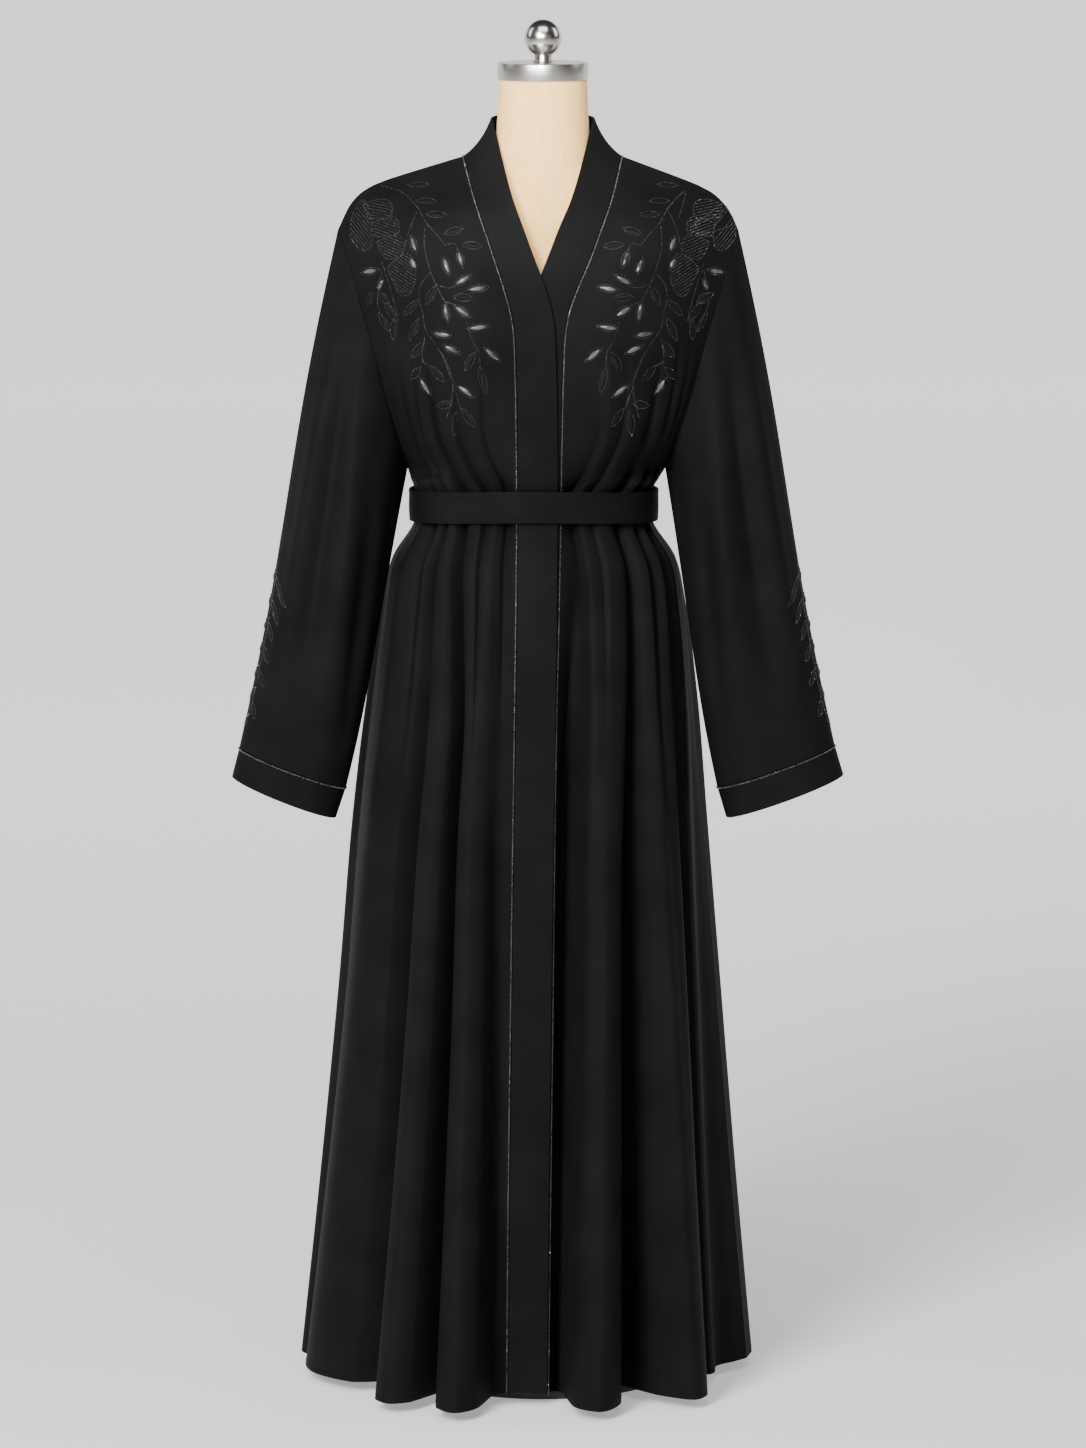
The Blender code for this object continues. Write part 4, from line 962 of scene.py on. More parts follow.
# %% Shared directions at the seams
def shared_normals(grids):
    """Each grid's outward directions, averaged where pieces meet."""
    own = {}
    for name, grid in grids.items():
        found = normals(grid, closed=name in TUBES)
        if name in TUBES:
            away = (grid - grid.mean(axis=1, keepdims=True)) * found
        else:
            away = (grid - np.array([0.0, 0.0, grid[..., 2].mean()])) * found
        own[name] = found if away[..., :2].sum() > 0 else -found
    met = {}
    for name, grid in grids.items():
        for point, normal in zip(grid.reshape(-1, 3), own[name].reshape(-1, 3)):
            key = tuple(np.round(point, 6))
            met[key] = met.get(key, 0.0) + normal
    level_above = grids["front_right"][BODICE_STEPS[0] // 2, -1, 2]
    for name, grid in grids.items():
        flat = own[name].reshape(-1, 3)
        for k, point in enumerate(grid.reshape(-1, 3)):
            total = met[tuple(np.round(point, 6))].copy()
            if abs(point[1]) < 1e-6 and point[2] > level_above:
                total[1] = 0.0
            flat[k] = total / np.linalg.norm(total)
    return own


outward = shared_normals(grids)
print("directions", {name: ways.shape[:2] for name, ways in outward.items()})


# %% Give the points two faces and a rounded edge
SHARP_DEG = 40


def drawn_back(grid, amounts):
    """The grid with its edges drawn back along the cloth, by amounts for its top, bottom, first and last."""
    grid = grid.copy()
    top, bottom, first, last = [np.reshape(amount, (-1, 1)) for amount in amounts]
    for amount, edge, inside in ((top, grid[0], grid[1]), (bottom, grid[-1], grid[-2])):
        edge += unit(inside - edge) * amount
    for amount, column, inside in ((first, 0, 1), (last, -1, -2)):
        grid[:, column] += unit(grid[:, inside] - grid[:, column]) * amount
    return grid


def cloth_piece(name, outer, ways, thickness, lip, closed=False):
    """A mesh with an outer and an inner face and a rounded edge that stands lip proud of both."""
    rows, columns = outer.shape[:2]
    inner = outer - ways * thickness
    shape = bmesh.new()
    skins = [[[shape.verts.new(p) for p in row] for row in points] for points in (outer, inner)]
    o, i = skins
    spans = columns if closed else columns - 1
    for r in range(rows - 1):
        for c in range(spans):
            n = (c + 1) % columns
            shape.faces.new((o[r][c], o[r + 1][c], o[r + 1][n], o[r][n]))
            shape.faces.new((i[r][c], i[r][n], i[r + 1][n], i[r + 1][c]))
    if closed:
        rims = [[(0, c) for c in range(columns)], [(rows - 1, c) for c in range(columns)]]
    else:
        rims = [
            [(0, c) for c in range(columns - 1)] + [(r, columns - 1) for r in range(rows - 1)]
            + [(rows - 1, c) for c in range(columns - 1, 0, -1)] + [(r, 0) for r in range(rows - 1, 0, -1)]
        ]
    for rim in rims:
        lips = []
        for r, c in rim:
            away = np.zeros(3)
            if r in (0, rows - 1):
                away += unit(outer[r, c] - outer[1 if r == 0 else rows - 2, c])
            if not closed and c in (0, columns - 1):
                away += unit(outer[r, c] - outer[r, 1 if c == 0 else columns - 2])
            lips.append(shape.verts.new((outer[r, c] + inner[r, c]) / 2 + unit(away) * lip))
        for k, (r, c) in enumerate(rim):
            n = (k + 1) % len(rim)
            next_r, next_c = rim[n]
            shape.faces.new((o[r][c], o[next_r][next_c], lips[n], lips[k]))
            shape.faces.new((i[r][c], lips[k], lips[n], i[next_r][next_c]))
    bmesh.ops.recalc_face_normals(shape, faces=shape.faces[:])
    mesh = bpy.data.meshes.new(name)
    shape.to_mesh(mesh)
    shape.free()
    return show(name, mesh, crepe)


def show(name, mesh, finish):
    """Puts a mesh in the scene, on the part's one body, with a finish."""
    mesh.materials.append(finish)
    mesh.shade_smooth()
    mesh.set_sharp_from_angle(angle=math.radians(SHARP_DEG))
    piece = bpy.data.objects.new(name, mesh)
    bpy.context.scene.collection.objects.link(piece)
    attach(piece, "root")
    return piece


# %% [markdown]
# ## The nine sewn pieces of the cloak
#
# The drawn-back amounts leave a hair's breadth between neighbours, so every seam shows as a fine groove.
# At the neck the back and the collar meet at a sharp angle and need a little more.

# %% Make the sewn pieces
CREPE_THICKNESS = 1.5 * MM
BAND_THICKNESS = 2.2 * MM
EDGE_LIP = 0.45 * MM
SEAM_GAP = 0.03 * MM
SEAM_DRAW = SEAM_GAP + EDGE_LIP
NECK_DRAW = 0.9 * MM
SLEEVE_DRAW = 0.75 * MM

back_draw = np.full(grids["back"].shape[1], SEAM_DRAW)
back_draw[neck_right : neck_left + 1] = NECK_DRAW
band_draw = {}
for name in ("band_right", "band_left"):
    band_draw[name] = np.full(len(grids[name]), SEAM_DRAW)
    band_draw[name][: -len(grids["front_right"])] = NECK_DRAW
# How far each piece's edges are drawn back: its top, bottom, first and last.
DRAWN = {"back": (back_draw, EDGE_LIP, SEAM_DRAW, SEAM_DRAW)}
for side in ("right", "left"):
    DRAWN[f"front_{side}"] = (SEAM_DRAW, EDGE_LIP, SEAM_DRAW, SEAM_DRAW)
    DRAWN[f"band_{side}"] = (SEAM_DRAW, EDGE_LIP, band_draw[f"band_{side}"], EDGE_LIP)
    DRAWN[f"sleeve_{side}"] = (SLEEVE_DRAW, SLEEVE_DRAW, 0, 0)
    DRAWN[f"cuff_{side}"] = (SEAM_DRAW, EDGE_LIP, 0, 0)
cloth = {}
for name, grid in grids.items():
    thickness = BAND_THICKNESS if name.startswith("band") else CREPE_THICKNESS
    wall = drawn_back(grid, DRAWN[name])
    cloth[name] = cloth_piece(f"crepe_{name}", wall, outward[name], thickness, EDGE_LIP, name in TUBES)
    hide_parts(name)
print(face_counts(cloth.values()))

# %% [markdown]
# ## The seam allowances inside
#
# Inside the cloak each long seam is covered by its own pressed allowance, a narrow flat strip. It is never
# seen from the front, but without it light would shine through the seams.

# %% Lay the allowances behind the long seams
ALLOWANCE_REACH = 6 * MM
ALLOWANCE_BEHIND = 2.7 * MM
ALLOWANCE_THICKNESS = 0.5 * MM
ALLOWANCE_LIP = 0.15 * MM
ALLOWANCE_SHORT = 3
# Each long seam: its name, the section where the strip starts, and the front's columns on it and beside it.
LONG_SEAMS = (("band", "bust", 0, 1), ("side", "blouse_edge", -1, -2))

allowances = {}


def lay_allowance(name, one, other, ways):
    """A flat strip inside a seam. one and other are two columns of points each: the seam, then beside it."""
    seam = one[0]
    reach = [unit(beside - seam) * ALLOWANCE_REACH for beside in (other[1], one[1])]
    lines = [seam + reach[0], seam + reach[0] / 2, seam, seam + reach[1] / 2, seam + reach[1]]
    strip = np.stack(lines, axis=1) - ways[:, None] * ALLOWANCE_BEHIND
    grids[name] = strip
    strip_ways = np.repeat(ways[:, None], len(lines), axis=1)
    allowances[name] = cloth_piece(f"crepe_{name}", strip, strip_ways, ALLOWANCE_THICKNESS, ALLOWANCE_LIP)


for side in ("right", "left"):
    front, ways = grids[f"front_{side}"], outward[f"front_{side}"]
    neighbours = {
        "band": grids[f"band_{side}"][-len(front) :],
        "side": grids["back"][:, ::-1] if side == "left" else grids["back"],
    }
    for seam, start, edge, beside in LONG_SEAMS:
        rows = slice(row_of[start], -ALLOWANCE_SHORT)
        one, other = front[rows], neighbours[seam][rows]
        columns = (one[:, edge], one[:, beside]), (other[:, 0], other[:, 1])
        lay_allowance(f"allowance_{seam}_{side}", *columns, ways[rows, edge])
print("allowances", face_counts(allowances.values()))

# %% [markdown]
# ## The belt
#
# The belt is a straight strip of doubled crepe. It goes once round the waist, over the cloak, and its end
# lies over its start at the centre back. Its face is slightly rounded, because the seam allowances fill it.

# %% Make the belt
BELT_WIDTH = 36 * MM
BELT_THICKNESS = 2.4 * MM
BELT_HEIGHT = 1005 * MM
BELT_FRONT_LIFT = 8 * MM
BELT_HALF_WIDTH = 141 * MM
BELT_HALF_DEPTH = 107.6 * MM
BELT_LAP_DEG = 22.0
BELT_LAP_RISE = 3.2 * MM
BELT_RISE_DEG = (320.0, 350.0)
BELT_ALONG = 280
BELT_ACROSS = 20
BELT_CROWN = 0.7 * MM
BELT_ROLL = 0.8 * MM
BELT_ROLL_AT = 0.06
BELT_ROLL_WIDTH = 0.05
# Each wrinkle: its share of the way down the belt, its angle round it, its depth in millimetres and its
# length in degrees.
BELT_WRINKLES = (
    (0.30, 150, 0.55, 26), (0.62, 178, 0.50, 30), (0.36, 206, 0.55, 24), (0.72, 222, 0.40, 14),
    (0.55, 40, 0.40, 20),
)
BELT_WRINKLE_SLOPE = 0.12
BELT_WRINKLE_WIDTH = 0.10


def belt_grid():
    """The belt from its top edge to its bottom edge, round from the lapped start to the end on top."""
    rows = []
    for r in range(BELT_ACROSS + 1):
        down = r / BELT_ACROSS
        row = []
        for k in range(BELT_ALONG + 1):
            turned = (360.0 + BELT_LAP_DEG) * k / BELT_ALONG
            angle = math.radians(turned - BELT_LAP_DEG / 2)
            rise = BELT_LAP_RISE * ease((turned - BELT_RISE_DEG[0]) / (BELT_RISE_DEG[1] - BELT_RISE_DEG[0]))
            rise += BELT_CROWN * 4 * down * (1 - down)
            rise += BELT_ROLL * math.exp(-(((down - BELT_ROLL_AT) / BELT_ROLL_WIDTH) ** 2))
            for height, turn, depth, length in BELT_WRINKLES:
                slope = (angle - math.radians(turn)) * BELT_WRINKLE_SLOPE
                near = (down - height - slope) / BELT_WRINKLE_WIDTH
                away = (math.degrees(angle) - turn) / length
                rise -= depth * MM * math.exp(-near * near - away * away)
            x = BELT_CENTRE_X + (BELT_HALF_WIDTH + rise) * -math.sin(angle)
            y = (BELT_HALF_DEPTH + rise) * math.cos(angle)
            z = BELT_HEIGHT + BELT_FRONT_LIFT * max(-math.cos(angle), 0.0) ** 2
            row.append([x, y, z + BELT_WIDTH * (0.5 - down)])
        rows.append(row)
    return np.array(rows)


belt_points = belt_grid()
belt_ways = normals(belt_points)
if (belt_ways[0] * (belt_points[0] - belt_points[0].mean(axis=0))).sum() < 0:
    belt_ways = -belt_ways
belt_wall = drawn_back(belt_points, [EDGE_LIP] * 4)
cloth["belt"] = cloth_piece("crepe_belt", belt_wall, belt_ways, BELT_THICKNESS, EDGE_LIP)
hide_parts("belt")
print("belt faces", len(cloth["belt"].data.polygons))

# %% [markdown]
# ## Beads along the seams
#
# A line of small grey glass beads is sewn beside each band, from the shoulder to the hem and round the neck,
# and round both cuffs. One bead is modelled as a small ball with few faces. A bead is never alone, so copies
# of it are set side by side on a line over the cloth, each turned a little so that they glint differently.

# %% Helpers to set many small copies on the cloth
def surface(name):
    """A search tree over the outer face of a sewn piece, and the piece's name."""
    rows, columns = grids[name].shape[:2]
    faces = []
    for r in range(rows - 1):
        here, below = r * columns, (r + 1) * columns
        for c in range(columns if name in TUBES else columns - 1):
            n = (c + 1) % columns
            faces.append([here + c, below + c, below + n, here + n])
    return BVHTree.FromPolygons([tuple(point) for point in grids[name].reshape(-1, 3)], faces), name


def on_cloth(tree_and_name, point):
    """The nearest place on the cloth and the way that it faces, outwards."""
    tree, name = tree_and_name
    place, way, _, _ = tree.find_nearest(Vector(point))
    if outward_sign[name] < 0:
        way = -way
    return np.array(place), np.array(way)


def facing_sign(name):
    """Whether the quads of a grid face outwards (1) or inwards (-1)."""
    grid = grids[name]
    r, c = grid.shape[0] // 2, grid.shape[1] // 2
    quad = np.cross(grid[r + 1, c] - grid[r, c], grid[r, c + 1] - grid[r, c])
    return 1 if (quad * outward[name][r, c]).sum() > 0 else -1


outward_sign = {name: facing_sign(name) for name in grids if name in outward}


def even_points(line, pitch, closed=False):
    """Points pitch apart along a line, with the way that it runs at each."""
    line = np.asarray(line, float)
    if closed:
        line = np.concatenate([line, line[:1]])
    steps = np.linalg.norm(np.diff(line, axis=0), axis=1)
    along = np.concatenate([[0.0], np.cumsum(steps)])
    count = max(int(round(along[-1] / pitch)), 1)
    marks = np.arange(count if closed else count + 1) * along[-1] / count

    def at(marks):
        return np.stack([np.interp(marks, along, line[:, axis]) for axis in range(3)], axis=1)

    return at(marks), unit(at(marks + pitch / 4) - at(marks - pitch / 4))


def keep_shape(thing):
    """The points and faces of a modelled piece, which is then removed."""
    mesh = thing.data
    points = np.array([v.co[:] for v in mesh.vertices])
    faces = [tuple(face.vertices) for face in mesh.polygons]
    bpy.data.objects.remove(thing)
    return points, faces


def copies(name, shape, places, finish):
    """One mesh with a copy of a shape at each place: (middle, along, up, (length, width, height))."""
    points, faces = shape
    all_points, all_faces, all_flat = [], [], []
    for middle, along, up, size in places:
        up = unit(up)
        along = unit(along - up * (along * up).sum())
        across = np.cross(up, along)
        turned = points * np.array(size)
        start = len(all_points)
        all_points.extend(middle + turned[:, :1] * along + turned[:, 1:2] * across + turned[:, 2:] * up)
        all_faces.extend(tuple(start + corner for corner in face) for face in faces)
        all_flat.extend(turned[:, :2])
    mesh = bpy.data.meshes.new(name)
    mesh.from_pydata([tuple(p) for p in all_points], [], all_faces)
    flat = mesh.uv_layers.new(name="flat")
    corners = np.empty(len(mesh.loops), dtype=np.int32)
    mesh.loops.foreach_get("vertex_index", corners)
    flat.data.foreach_set("uv", np.array(all_flat)[corners].ravel())
    return show(name, mesh, finish)


def bead_places(tree_and_name, line, size, pitch, closed=False, seed=1):
    """Places for beads of one size along a line, on the cloth, each turned by chance."""
    chance = np.random.default_rng(seed)
    points, ways = even_points(line, pitch, closed)
    places = []
    for point, way in zip(points, ways):
        place, up = on_cloth(tree_and_name, point)
        lean = unit(up + chance.normal(0, BEAD_LEAN, 3))
        places.append((place + up * size * BEAD_SEAT, way, lean, (size, size, size * BEAD_FLATNESS)))
    return places


# %% Model one bead
BEAD_SEAT = 0.32
BEAD_FLATNESS = 0.85
BEAD_LEAN = 0.18
bpy.ops.mesh.primitive_uv_sphere_add(segments=6, ring_count=4, radius=0.5)
bead = keep_shape(bpy.context.object)
print("bead faces", len(bead[1]))

# %% Sew the bead lines beside the bands and round the cuffs
TRIM_PITCH = 2.7 * MM
TRIM_BEAD = 1.9 * MM
TRIM_OFF_SEAM = 1.6 * MM

trims = []


def sew_trim(name, piece, line, closed=False):
    """A line of trim beads on a sewn piece."""
    places = bead_places(surface(piece), line, TRIM_BEAD, TRIM_PITCH, closed)
    trims.append(copies(f"beads_{name}", bead, places, steel))


for side in ("right", "left"):
    grid = grids[f"front_{side}"]
    band = grids[f"band_{side}"][-len(grid) :]
    line = grid[:, 0] - unit(band[:, 1] - band[:, 0]) * TRIM_OFF_SEAM
    sew_trim(f"front_{side}", f"front_{side}", line)
neck_seam, below = grids["back"][:2, neck_right : neck_left + 1]
sew_trim("neck", "back", neck_seam + unit(below - neck_seam) * TRIM_OFF_SEAM)
for side in ("right", "left"):
    grid = grids[f"cuff_{side}"]
    line = grid[0] + unit(grid[1] - grid[0]) * TRIM_OFF_SEAM
    sew_trim(f"cuff_{side}", f"cuff_{side}", line, closed=True)
print("trims", face_counts(trims))

# %% [markdown]
# ## The sprays of leaves
#
# Both shoulders and both sleeves carry a spray in jet beads: stems of small beads, leaves with a beaded
# outline and black silk or a long grey stone inside, and at the shoulder a flower whose petals are filled
# with beads in rows. An embroiderer pricks the design through paper. Here the stems and the leaves are
# written as places on the garment seen from the front, across from its middle and up from the floor.

# %% Model one stone and one thread leaf
LEAF_SIDES = 14
STONE_GIRDLE, STONE_TABLE = 0.35, 0.28
THREAD_GIRDLE, THREAD_TABLE = 0.30, 0.24
LEAF_TAPER, LEAF_TAPER_POWER = 0.45, 1.5


def leaf_shape(name, girdle, table_inset):
    """A pointed oval 1 long, 1 wide and 1 high, with a flat table on top, from a cylinder."""
    bpy.ops.mesh.primitive_cylinder_add(
        vertices=LEAF_SIDES, radius=0.5, depth=girdle, location=(0, 0, girdle / 2)
    )
    thing = settle(bpy.context.object, name)
    pick(thing, "FACE", looks_up)
    bpy.ops.mesh.extrude_region_move(TRANSFORM_OT_translate={"value": (0, 0, 1 - girdle)})
    bpy.ops.transform.resize(value=(1 - 2 * table_inset, 1 - 2 * table_inset, 1))
    bpy.ops.object.mode_set(mode="OBJECT")
    for vertex in thing.data.vertices:
        vertex.co.y *= 1 - abs(2 * vertex.co.x) ** LEAF_TAPER_POWER * LEAF_TAPER
    return keep_shape(thing)


stone = leaf_shape("stone", STONE_GIRDLE, STONE_TABLE)
thread_leaf = leaf_shape("thread_leaf", THREAD_GIRDLE, THREAD_TABLE)
print("stone faces", len(stone[1]))

# %% Write down the spray of the chest
# Millimetres across from the middle and up from the floor. A leaf is its base and its tip. A petal is the
# slant of its bead rows in degrees, and its corners.
CENTRE_X = 6 * MM
LEAF_WIDTH = 8.6 * MM
CHEST_STONE_LEAVES = (
    (203, 1276, 182, 1279), (178, 1270, 184, 1255), (147, 1317, 141, 1298), (148, 1293, 141, 1279),
    (111, 1293, 104, 1273), (95, 1301, 89, 1281), (99, 1262, 80, 1273), (85, 1256, 60, 1260),
    (110, 1244, 106, 1220), (100, 1239, 80, 1226), (85, 1213, 60, 1216), (112, 1195, 91, 1185),
    (66, 1192, 47, 1176), (97, 1151, 76, 1136), (138, 1159, 124, 1138), (124, 1209, 101, 1205),
)
CHEST_THREAD_LEAVES = (
    (150, 1373, 127, 1374), (141, 1356, 118, 1355), (130, 1341, 107, 1340), (110, 1319, 89, 1325),
    (90, 1307, 67, 1305), (100, 1249, 78, 1247), (76, 1187, 87, 1166), (71, 1170, 64, 1141),
    (147, 1157, 136, 1170), (126, 1172, 110, 1154), (118, 1127, 100, 1130), (90, 1124, 76, 1103),
    (97, 1121, 99, 1093), (120, 1261, 130, 1240), (139, 1245, 155, 1228), (138, 1225, 149, 1200),
    (133, 1198, 146, 1181), (176, 1243, 162, 1220), (190, 1253, 196, 1240), (184, 1253, 171, 1242),
    (183, 1231, 171, 1210), (166, 1224, 167, 1200),
)
CHEST_STEMS = (
    ((180, 1373), (158, 1366), (140, 1349), (129, 1330), (117, 1317), (109, 1306)),
    ((140, 1343), (149, 1322), (153, 1306)),
    ((131, 1326), (132, 1305), (126, 1280), (119, 1262), (110, 1244)),
    ((126, 1275), (136, 1262), (138, 1246), (134, 1230), (131, 1213), (120, 1196), (107, 1174), (101, 1155),
     (102, 1134), (107, 1114)),
    ((120, 1264), (108, 1259), (98, 1260)),
    ((108, 1307), (98, 1308), (95, 1300)),
    ((110, 1244), (99, 1240)),
    ((85, 1220), (77, 1196), (72, 1188), (70, 1170)),
    ((113, 1186), (101, 1155)),
    ((101, 1150), (92, 1124)),
    ((132, 1202), (134, 1177), (125, 1171)),
    ((134, 1177), (137, 1167)),
    ((179, 1278), (183, 1258), (184, 1240), (178, 1226), (173, 1211)),
    ((179, 1287), (171, 1262), (165, 1240), (161, 1223)),
)
CHEST_PETALS = (
    (52, ((214, 1330), (211, 1342), (200, 1357), (192, 1340), (189, 1318), (191, 1305), (198, 1300),
          (207, 1305), (214, 1316))),
    (12, ((199, 1352), (186, 1357), (172, 1356), (167, 1347), (170, 1337), (184, 1336), (196, 1337))),
    (20, ((191, 1331), (178, 1336), (166, 1338), (160, 1330), (161, 1320), (174, 1317), (187, 1317))),
    (24, ((185, 1310), (172, 1316), (160, 1317), (154, 1308), (156, 1297), (167, 1291), (176, 1292))),
    (34, ((174, 1281), (163, 1291), (150, 1297), (142, 1282), (143, 1264), (149, 1252), (158, 1250),
          (166, 1264))),
)
print("leaves on a shoulder", len(CHEST_STONE_LEAVES) + len(CHEST_THREAD_LEAVES))

# %% Lay the chest spray on both fronts
OUTLINE_PITCH = 2.4 * MM
OUTLINE_BEAD = 1.35 * MM
STEM_PITCH = 2.6 * MM
STEM_BEAD = 1.45 * MM
FILL_PITCH = 1.9 * MM
FILL_ROW = 3.2 * MM
FILL_BEAD = 1.2 * MM
FILL_INSET = 0.9
STONE_SHARE = (0.72, 0.62)
STONE_HEIGHT = 2.1 * MM
THREAD_SHARE = (0.74, 0.62)
THREAD_HEIGHT = 0.9 * MM
OUTLINE_STEPS = 12
STEM_SEED, PETAL_SEED, FILL_SEED = 100, 200, 300
STEM_STEPS = 6
PICTURE_PLANE_Y = -0.1


def seen_on(tree_and_name, across, height, side):
    """The place on the cloth that the camera sees at a place across from the middle and up."""
    aim = Vector((CENTRE_X + side * across * MM, PICTURE_PLANE_Y, height * MM))
    place = tree_and_name[0].ray_cast(CAMERA_PLACE, (aim - CAMERA_PLACE).normalized())[0]
    return on_cloth(tree_and_name, aim if place is None else place)[0]


def leaf_outline(base, tip, up, width):
    """A pointed leaf's outline from its base round to its base again."""
    along = tip - base
    across = unit(np.cross(up, along)) * width / 2
    shares = np.arange(OUTLINE_STEPS + 1) / OUTLINE_STEPS
    side = [base + along * s + across * 4 * s * (1 - s) for s in shares]
    other = [base + along * s - across * 4 * s * (1 - s) for s in shares[::-1]]
    return np.array(side + other[1:-1])


def smooth_line(points):
    """A smooth curve through a few points."""
    points = np.array(points, float)
    if len(points) < 3:
        return points
    return through(points, chords(points), [STEM_STEPS] * (len(points) - 1))


def petal_rows(corners, slant_deg):
    """Slanting rows across a petal, given as corners in the picture plane."""
    corners = np.array(corners, float)
    slant = math.radians(slant_deg)
    run = np.array([math.cos(slant), math.sin(slant)])
    off = np.array([-run[1], run[0]])
    levels = corners @ off
    rows = []
    for level in np.arange(levels.min() + 1, levels.max() - 0.5, FILL_ROW / MM):
        cuts = []
        for a, b in zip(corners, np.roll(corners, -1, axis=0)):
            la, lb = a @ off - level, b @ off - level
            if la * lb < 0:
                cuts.append((a + (b - a) * la / (la - lb)) @ run)
        if len(cuts) >= 2:
            ends = (min(cuts) + FILL_INSET, max(cuts) - FILL_INSET)
            rows.append([run * end + off * level for end in ends])
    return rows


def leaf_place(tree_and_name, base, tip, shares, height):
    """The place of a stone or a thread leaf inside an outline."""
    middle, up = on_cloth(tree_and_name, (base + tip) / 2)
    length = np.linalg.norm(tip - base)
    return middle, tip - base, up, (length * shares[0], LEAF_WIDTH * shares[1], height)


def sew_spray(name, tree_and_name, stone_leaves, thread_leaves, stems, petals):
    """Beads, stones and thread leaves of one spray. Everything is given as points on the cloth."""
    beads = []
    for seed, (base, tip) in enumerate(stone_leaves + thread_leaves):
        up = on_cloth(tree_and_name, (base + tip) / 2)[1]
        outline = leaf_outline(base, tip, up, LEAF_WIDTH)
        beads += bead_places(tree_and_name, outline, OUTLINE_BEAD, OUTLINE_PITCH, True, seed)
    stones = [leaf_place(tree_and_name, *leaf, STONE_SHARE, STONE_HEIGHT) for leaf in stone_leaves]
    threads = [leaf_place(tree_and_name, *leaf, THREAD_SHARE, THREAD_HEIGHT) for leaf in thread_leaves]
    for seed, stem in enumerate(stems, STEM_SEED):
        beads += bead_places(tree_and_name, smooth_line(stem), STEM_BEAD, STEM_PITCH, False, seed)
    for seed, (outline, rows) in enumerate(petals):
        beads += bead_places(tree_and_name, outline, OUTLINE_BEAD, OUTLINE_PITCH, True, PETAL_SEED + seed)
        for row in rows:
            beads += bead_places(tree_and_name, row, FILL_BEAD, FILL_PITCH, False, FILL_SEED + seed)
    made = [copies(f"{name}_beads", bead, beads, jet), copies(f"{name}_threads", thread_leaf, threads, silk)]
    if stones:
        made.append(copies(f"{name}_stones", stone, stones, smoke))
    return made


sprays = {}
for name, side in (("front_right", -1), ("front_left", 1)):
    tree_and_name = surface(name)

    def seen(across, height):
        return seen_on(tree_and_name, across, height, side)

    stone_leaves = [(seen(a, b), seen(c, d)) for a, b, c, d in CHEST_STONE_LEAVES]
    thread_leaves = [(seen(a, b), seen(c, d)) for a, b, c, d in CHEST_THREAD_LEAVES]
    stems = [[seen(*point) for point in stem] for stem in CHEST_STEMS]
    petals = []
    for slant_deg, corners in CHEST_PETALS:
        outline = smooth_line([seen(*corner) for corner in corners + corners[:1]])[:-1]
        rows = [np.array([seen(*end) for end in ends]) for ends in petal_rows(corners, slant_deg)]
        petals.append((outline, rows))
    sprays[name] = sew_spray(f"spray_{name}", tree_and_name, stone_leaves, thread_leaves, stems, petals)
    print("chest spray", face_counts(sprays[name]))

# %% Lay the sleeve sprays
SLEEVE_SPRAY_TOP = 1317.0
SLEEVE_SPRAY_RUN = 585.0
# Millimetres up from the floor, and degrees from the sleeve's outer edge towards its front.
SLEEVE_STEM = ((958, 8), (935, 12), (905, 15), (872, 18), (838, 19), (802, 20), (770, 17))
SLEEVE_STEM_LEAVES = (
    (932, 12, 915, 52), (905, 15, 889, 44), (880, 17, 866, 38), (852, 19, 840, 38), (824, 19, 812, 39),
    (788, 19, 772, 33), (938, 11, 925, -8), (912, 14, 896, -12), (884, 16, 868, -16), (858, 18, 842, -14),
    (830, 19, 812, -12), (804, 19, 786, -6), (772, 17, 756, 4),
)
for name, side in (("sleeve_right", -1), ("sleeve_left", 1)):
    grid = grids[name]
    tree_and_name = surface(name)

    def on_sleeve(height, degrees):
        """A place on the sleeve at a height along it and an angle from its outer edge to the front."""
        row = (SLEEVE_SPRAY_TOP - height) / SLEEVE_SPRAY_RUN * (len(grid) - 1)
        column = degrees / 360 * grid.shape[1]
        low_r, low_c = int(row), math.floor(column)
        here, beside = low_c % grid.shape[1], (low_c + 1) % grid.shape[1]
        upper, lower = mix(grid[low_r : low_r + 2, here], grid[low_r : low_r + 2, beside], column - low_c)
        return mix(upper, lower, row - low_r)

    stem = [on_sleeve(*point) for point in SLEEVE_STEM]
    leaves = [(on_sleeve(a, b), on_sleeve(c, d)) for a, b, c, d in SLEEVE_STEM_LEAVES]
    sprays[name] = sew_spray(f"spray_{name}", tree_and_name, [], leaves, [stem], [])
    print("sleeve spray", face_counts(sprays[name]))

# %% [markdown]
# ## Stitches along the hem
#
# The hem is turned up and stitched by machine. Each stitch shows as a short thread that sinks at both ends.

# %% Stitch the hem
STITCH_LENGTH = 2.5 * MM
STITCH_PITCH = 3.0 * MM
STITCH_THICKNESS = 0.45 * MM
STITCH_SEAT = 0.2
HEM_STITCH_UP = 6.5 * MM

bpy.ops.mesh.primitive_cylinder_add(vertices=5, radius=0.5, depth=1, rotation=(0, math.radians(90), 0))
stitch = keep_shape(settle(bpy.context.object, "stitch"))


def hem_line(grid):
    """A line a little above a panel's bottom edge."""
    heights = np.linalg.norm(grid[-1] - grid[-2], axis=1, keepdims=True)
    return grid[-1] + (grid[-2] - grid[-1]) / heights * np.minimum(HEM_STITCH_UP, heights)


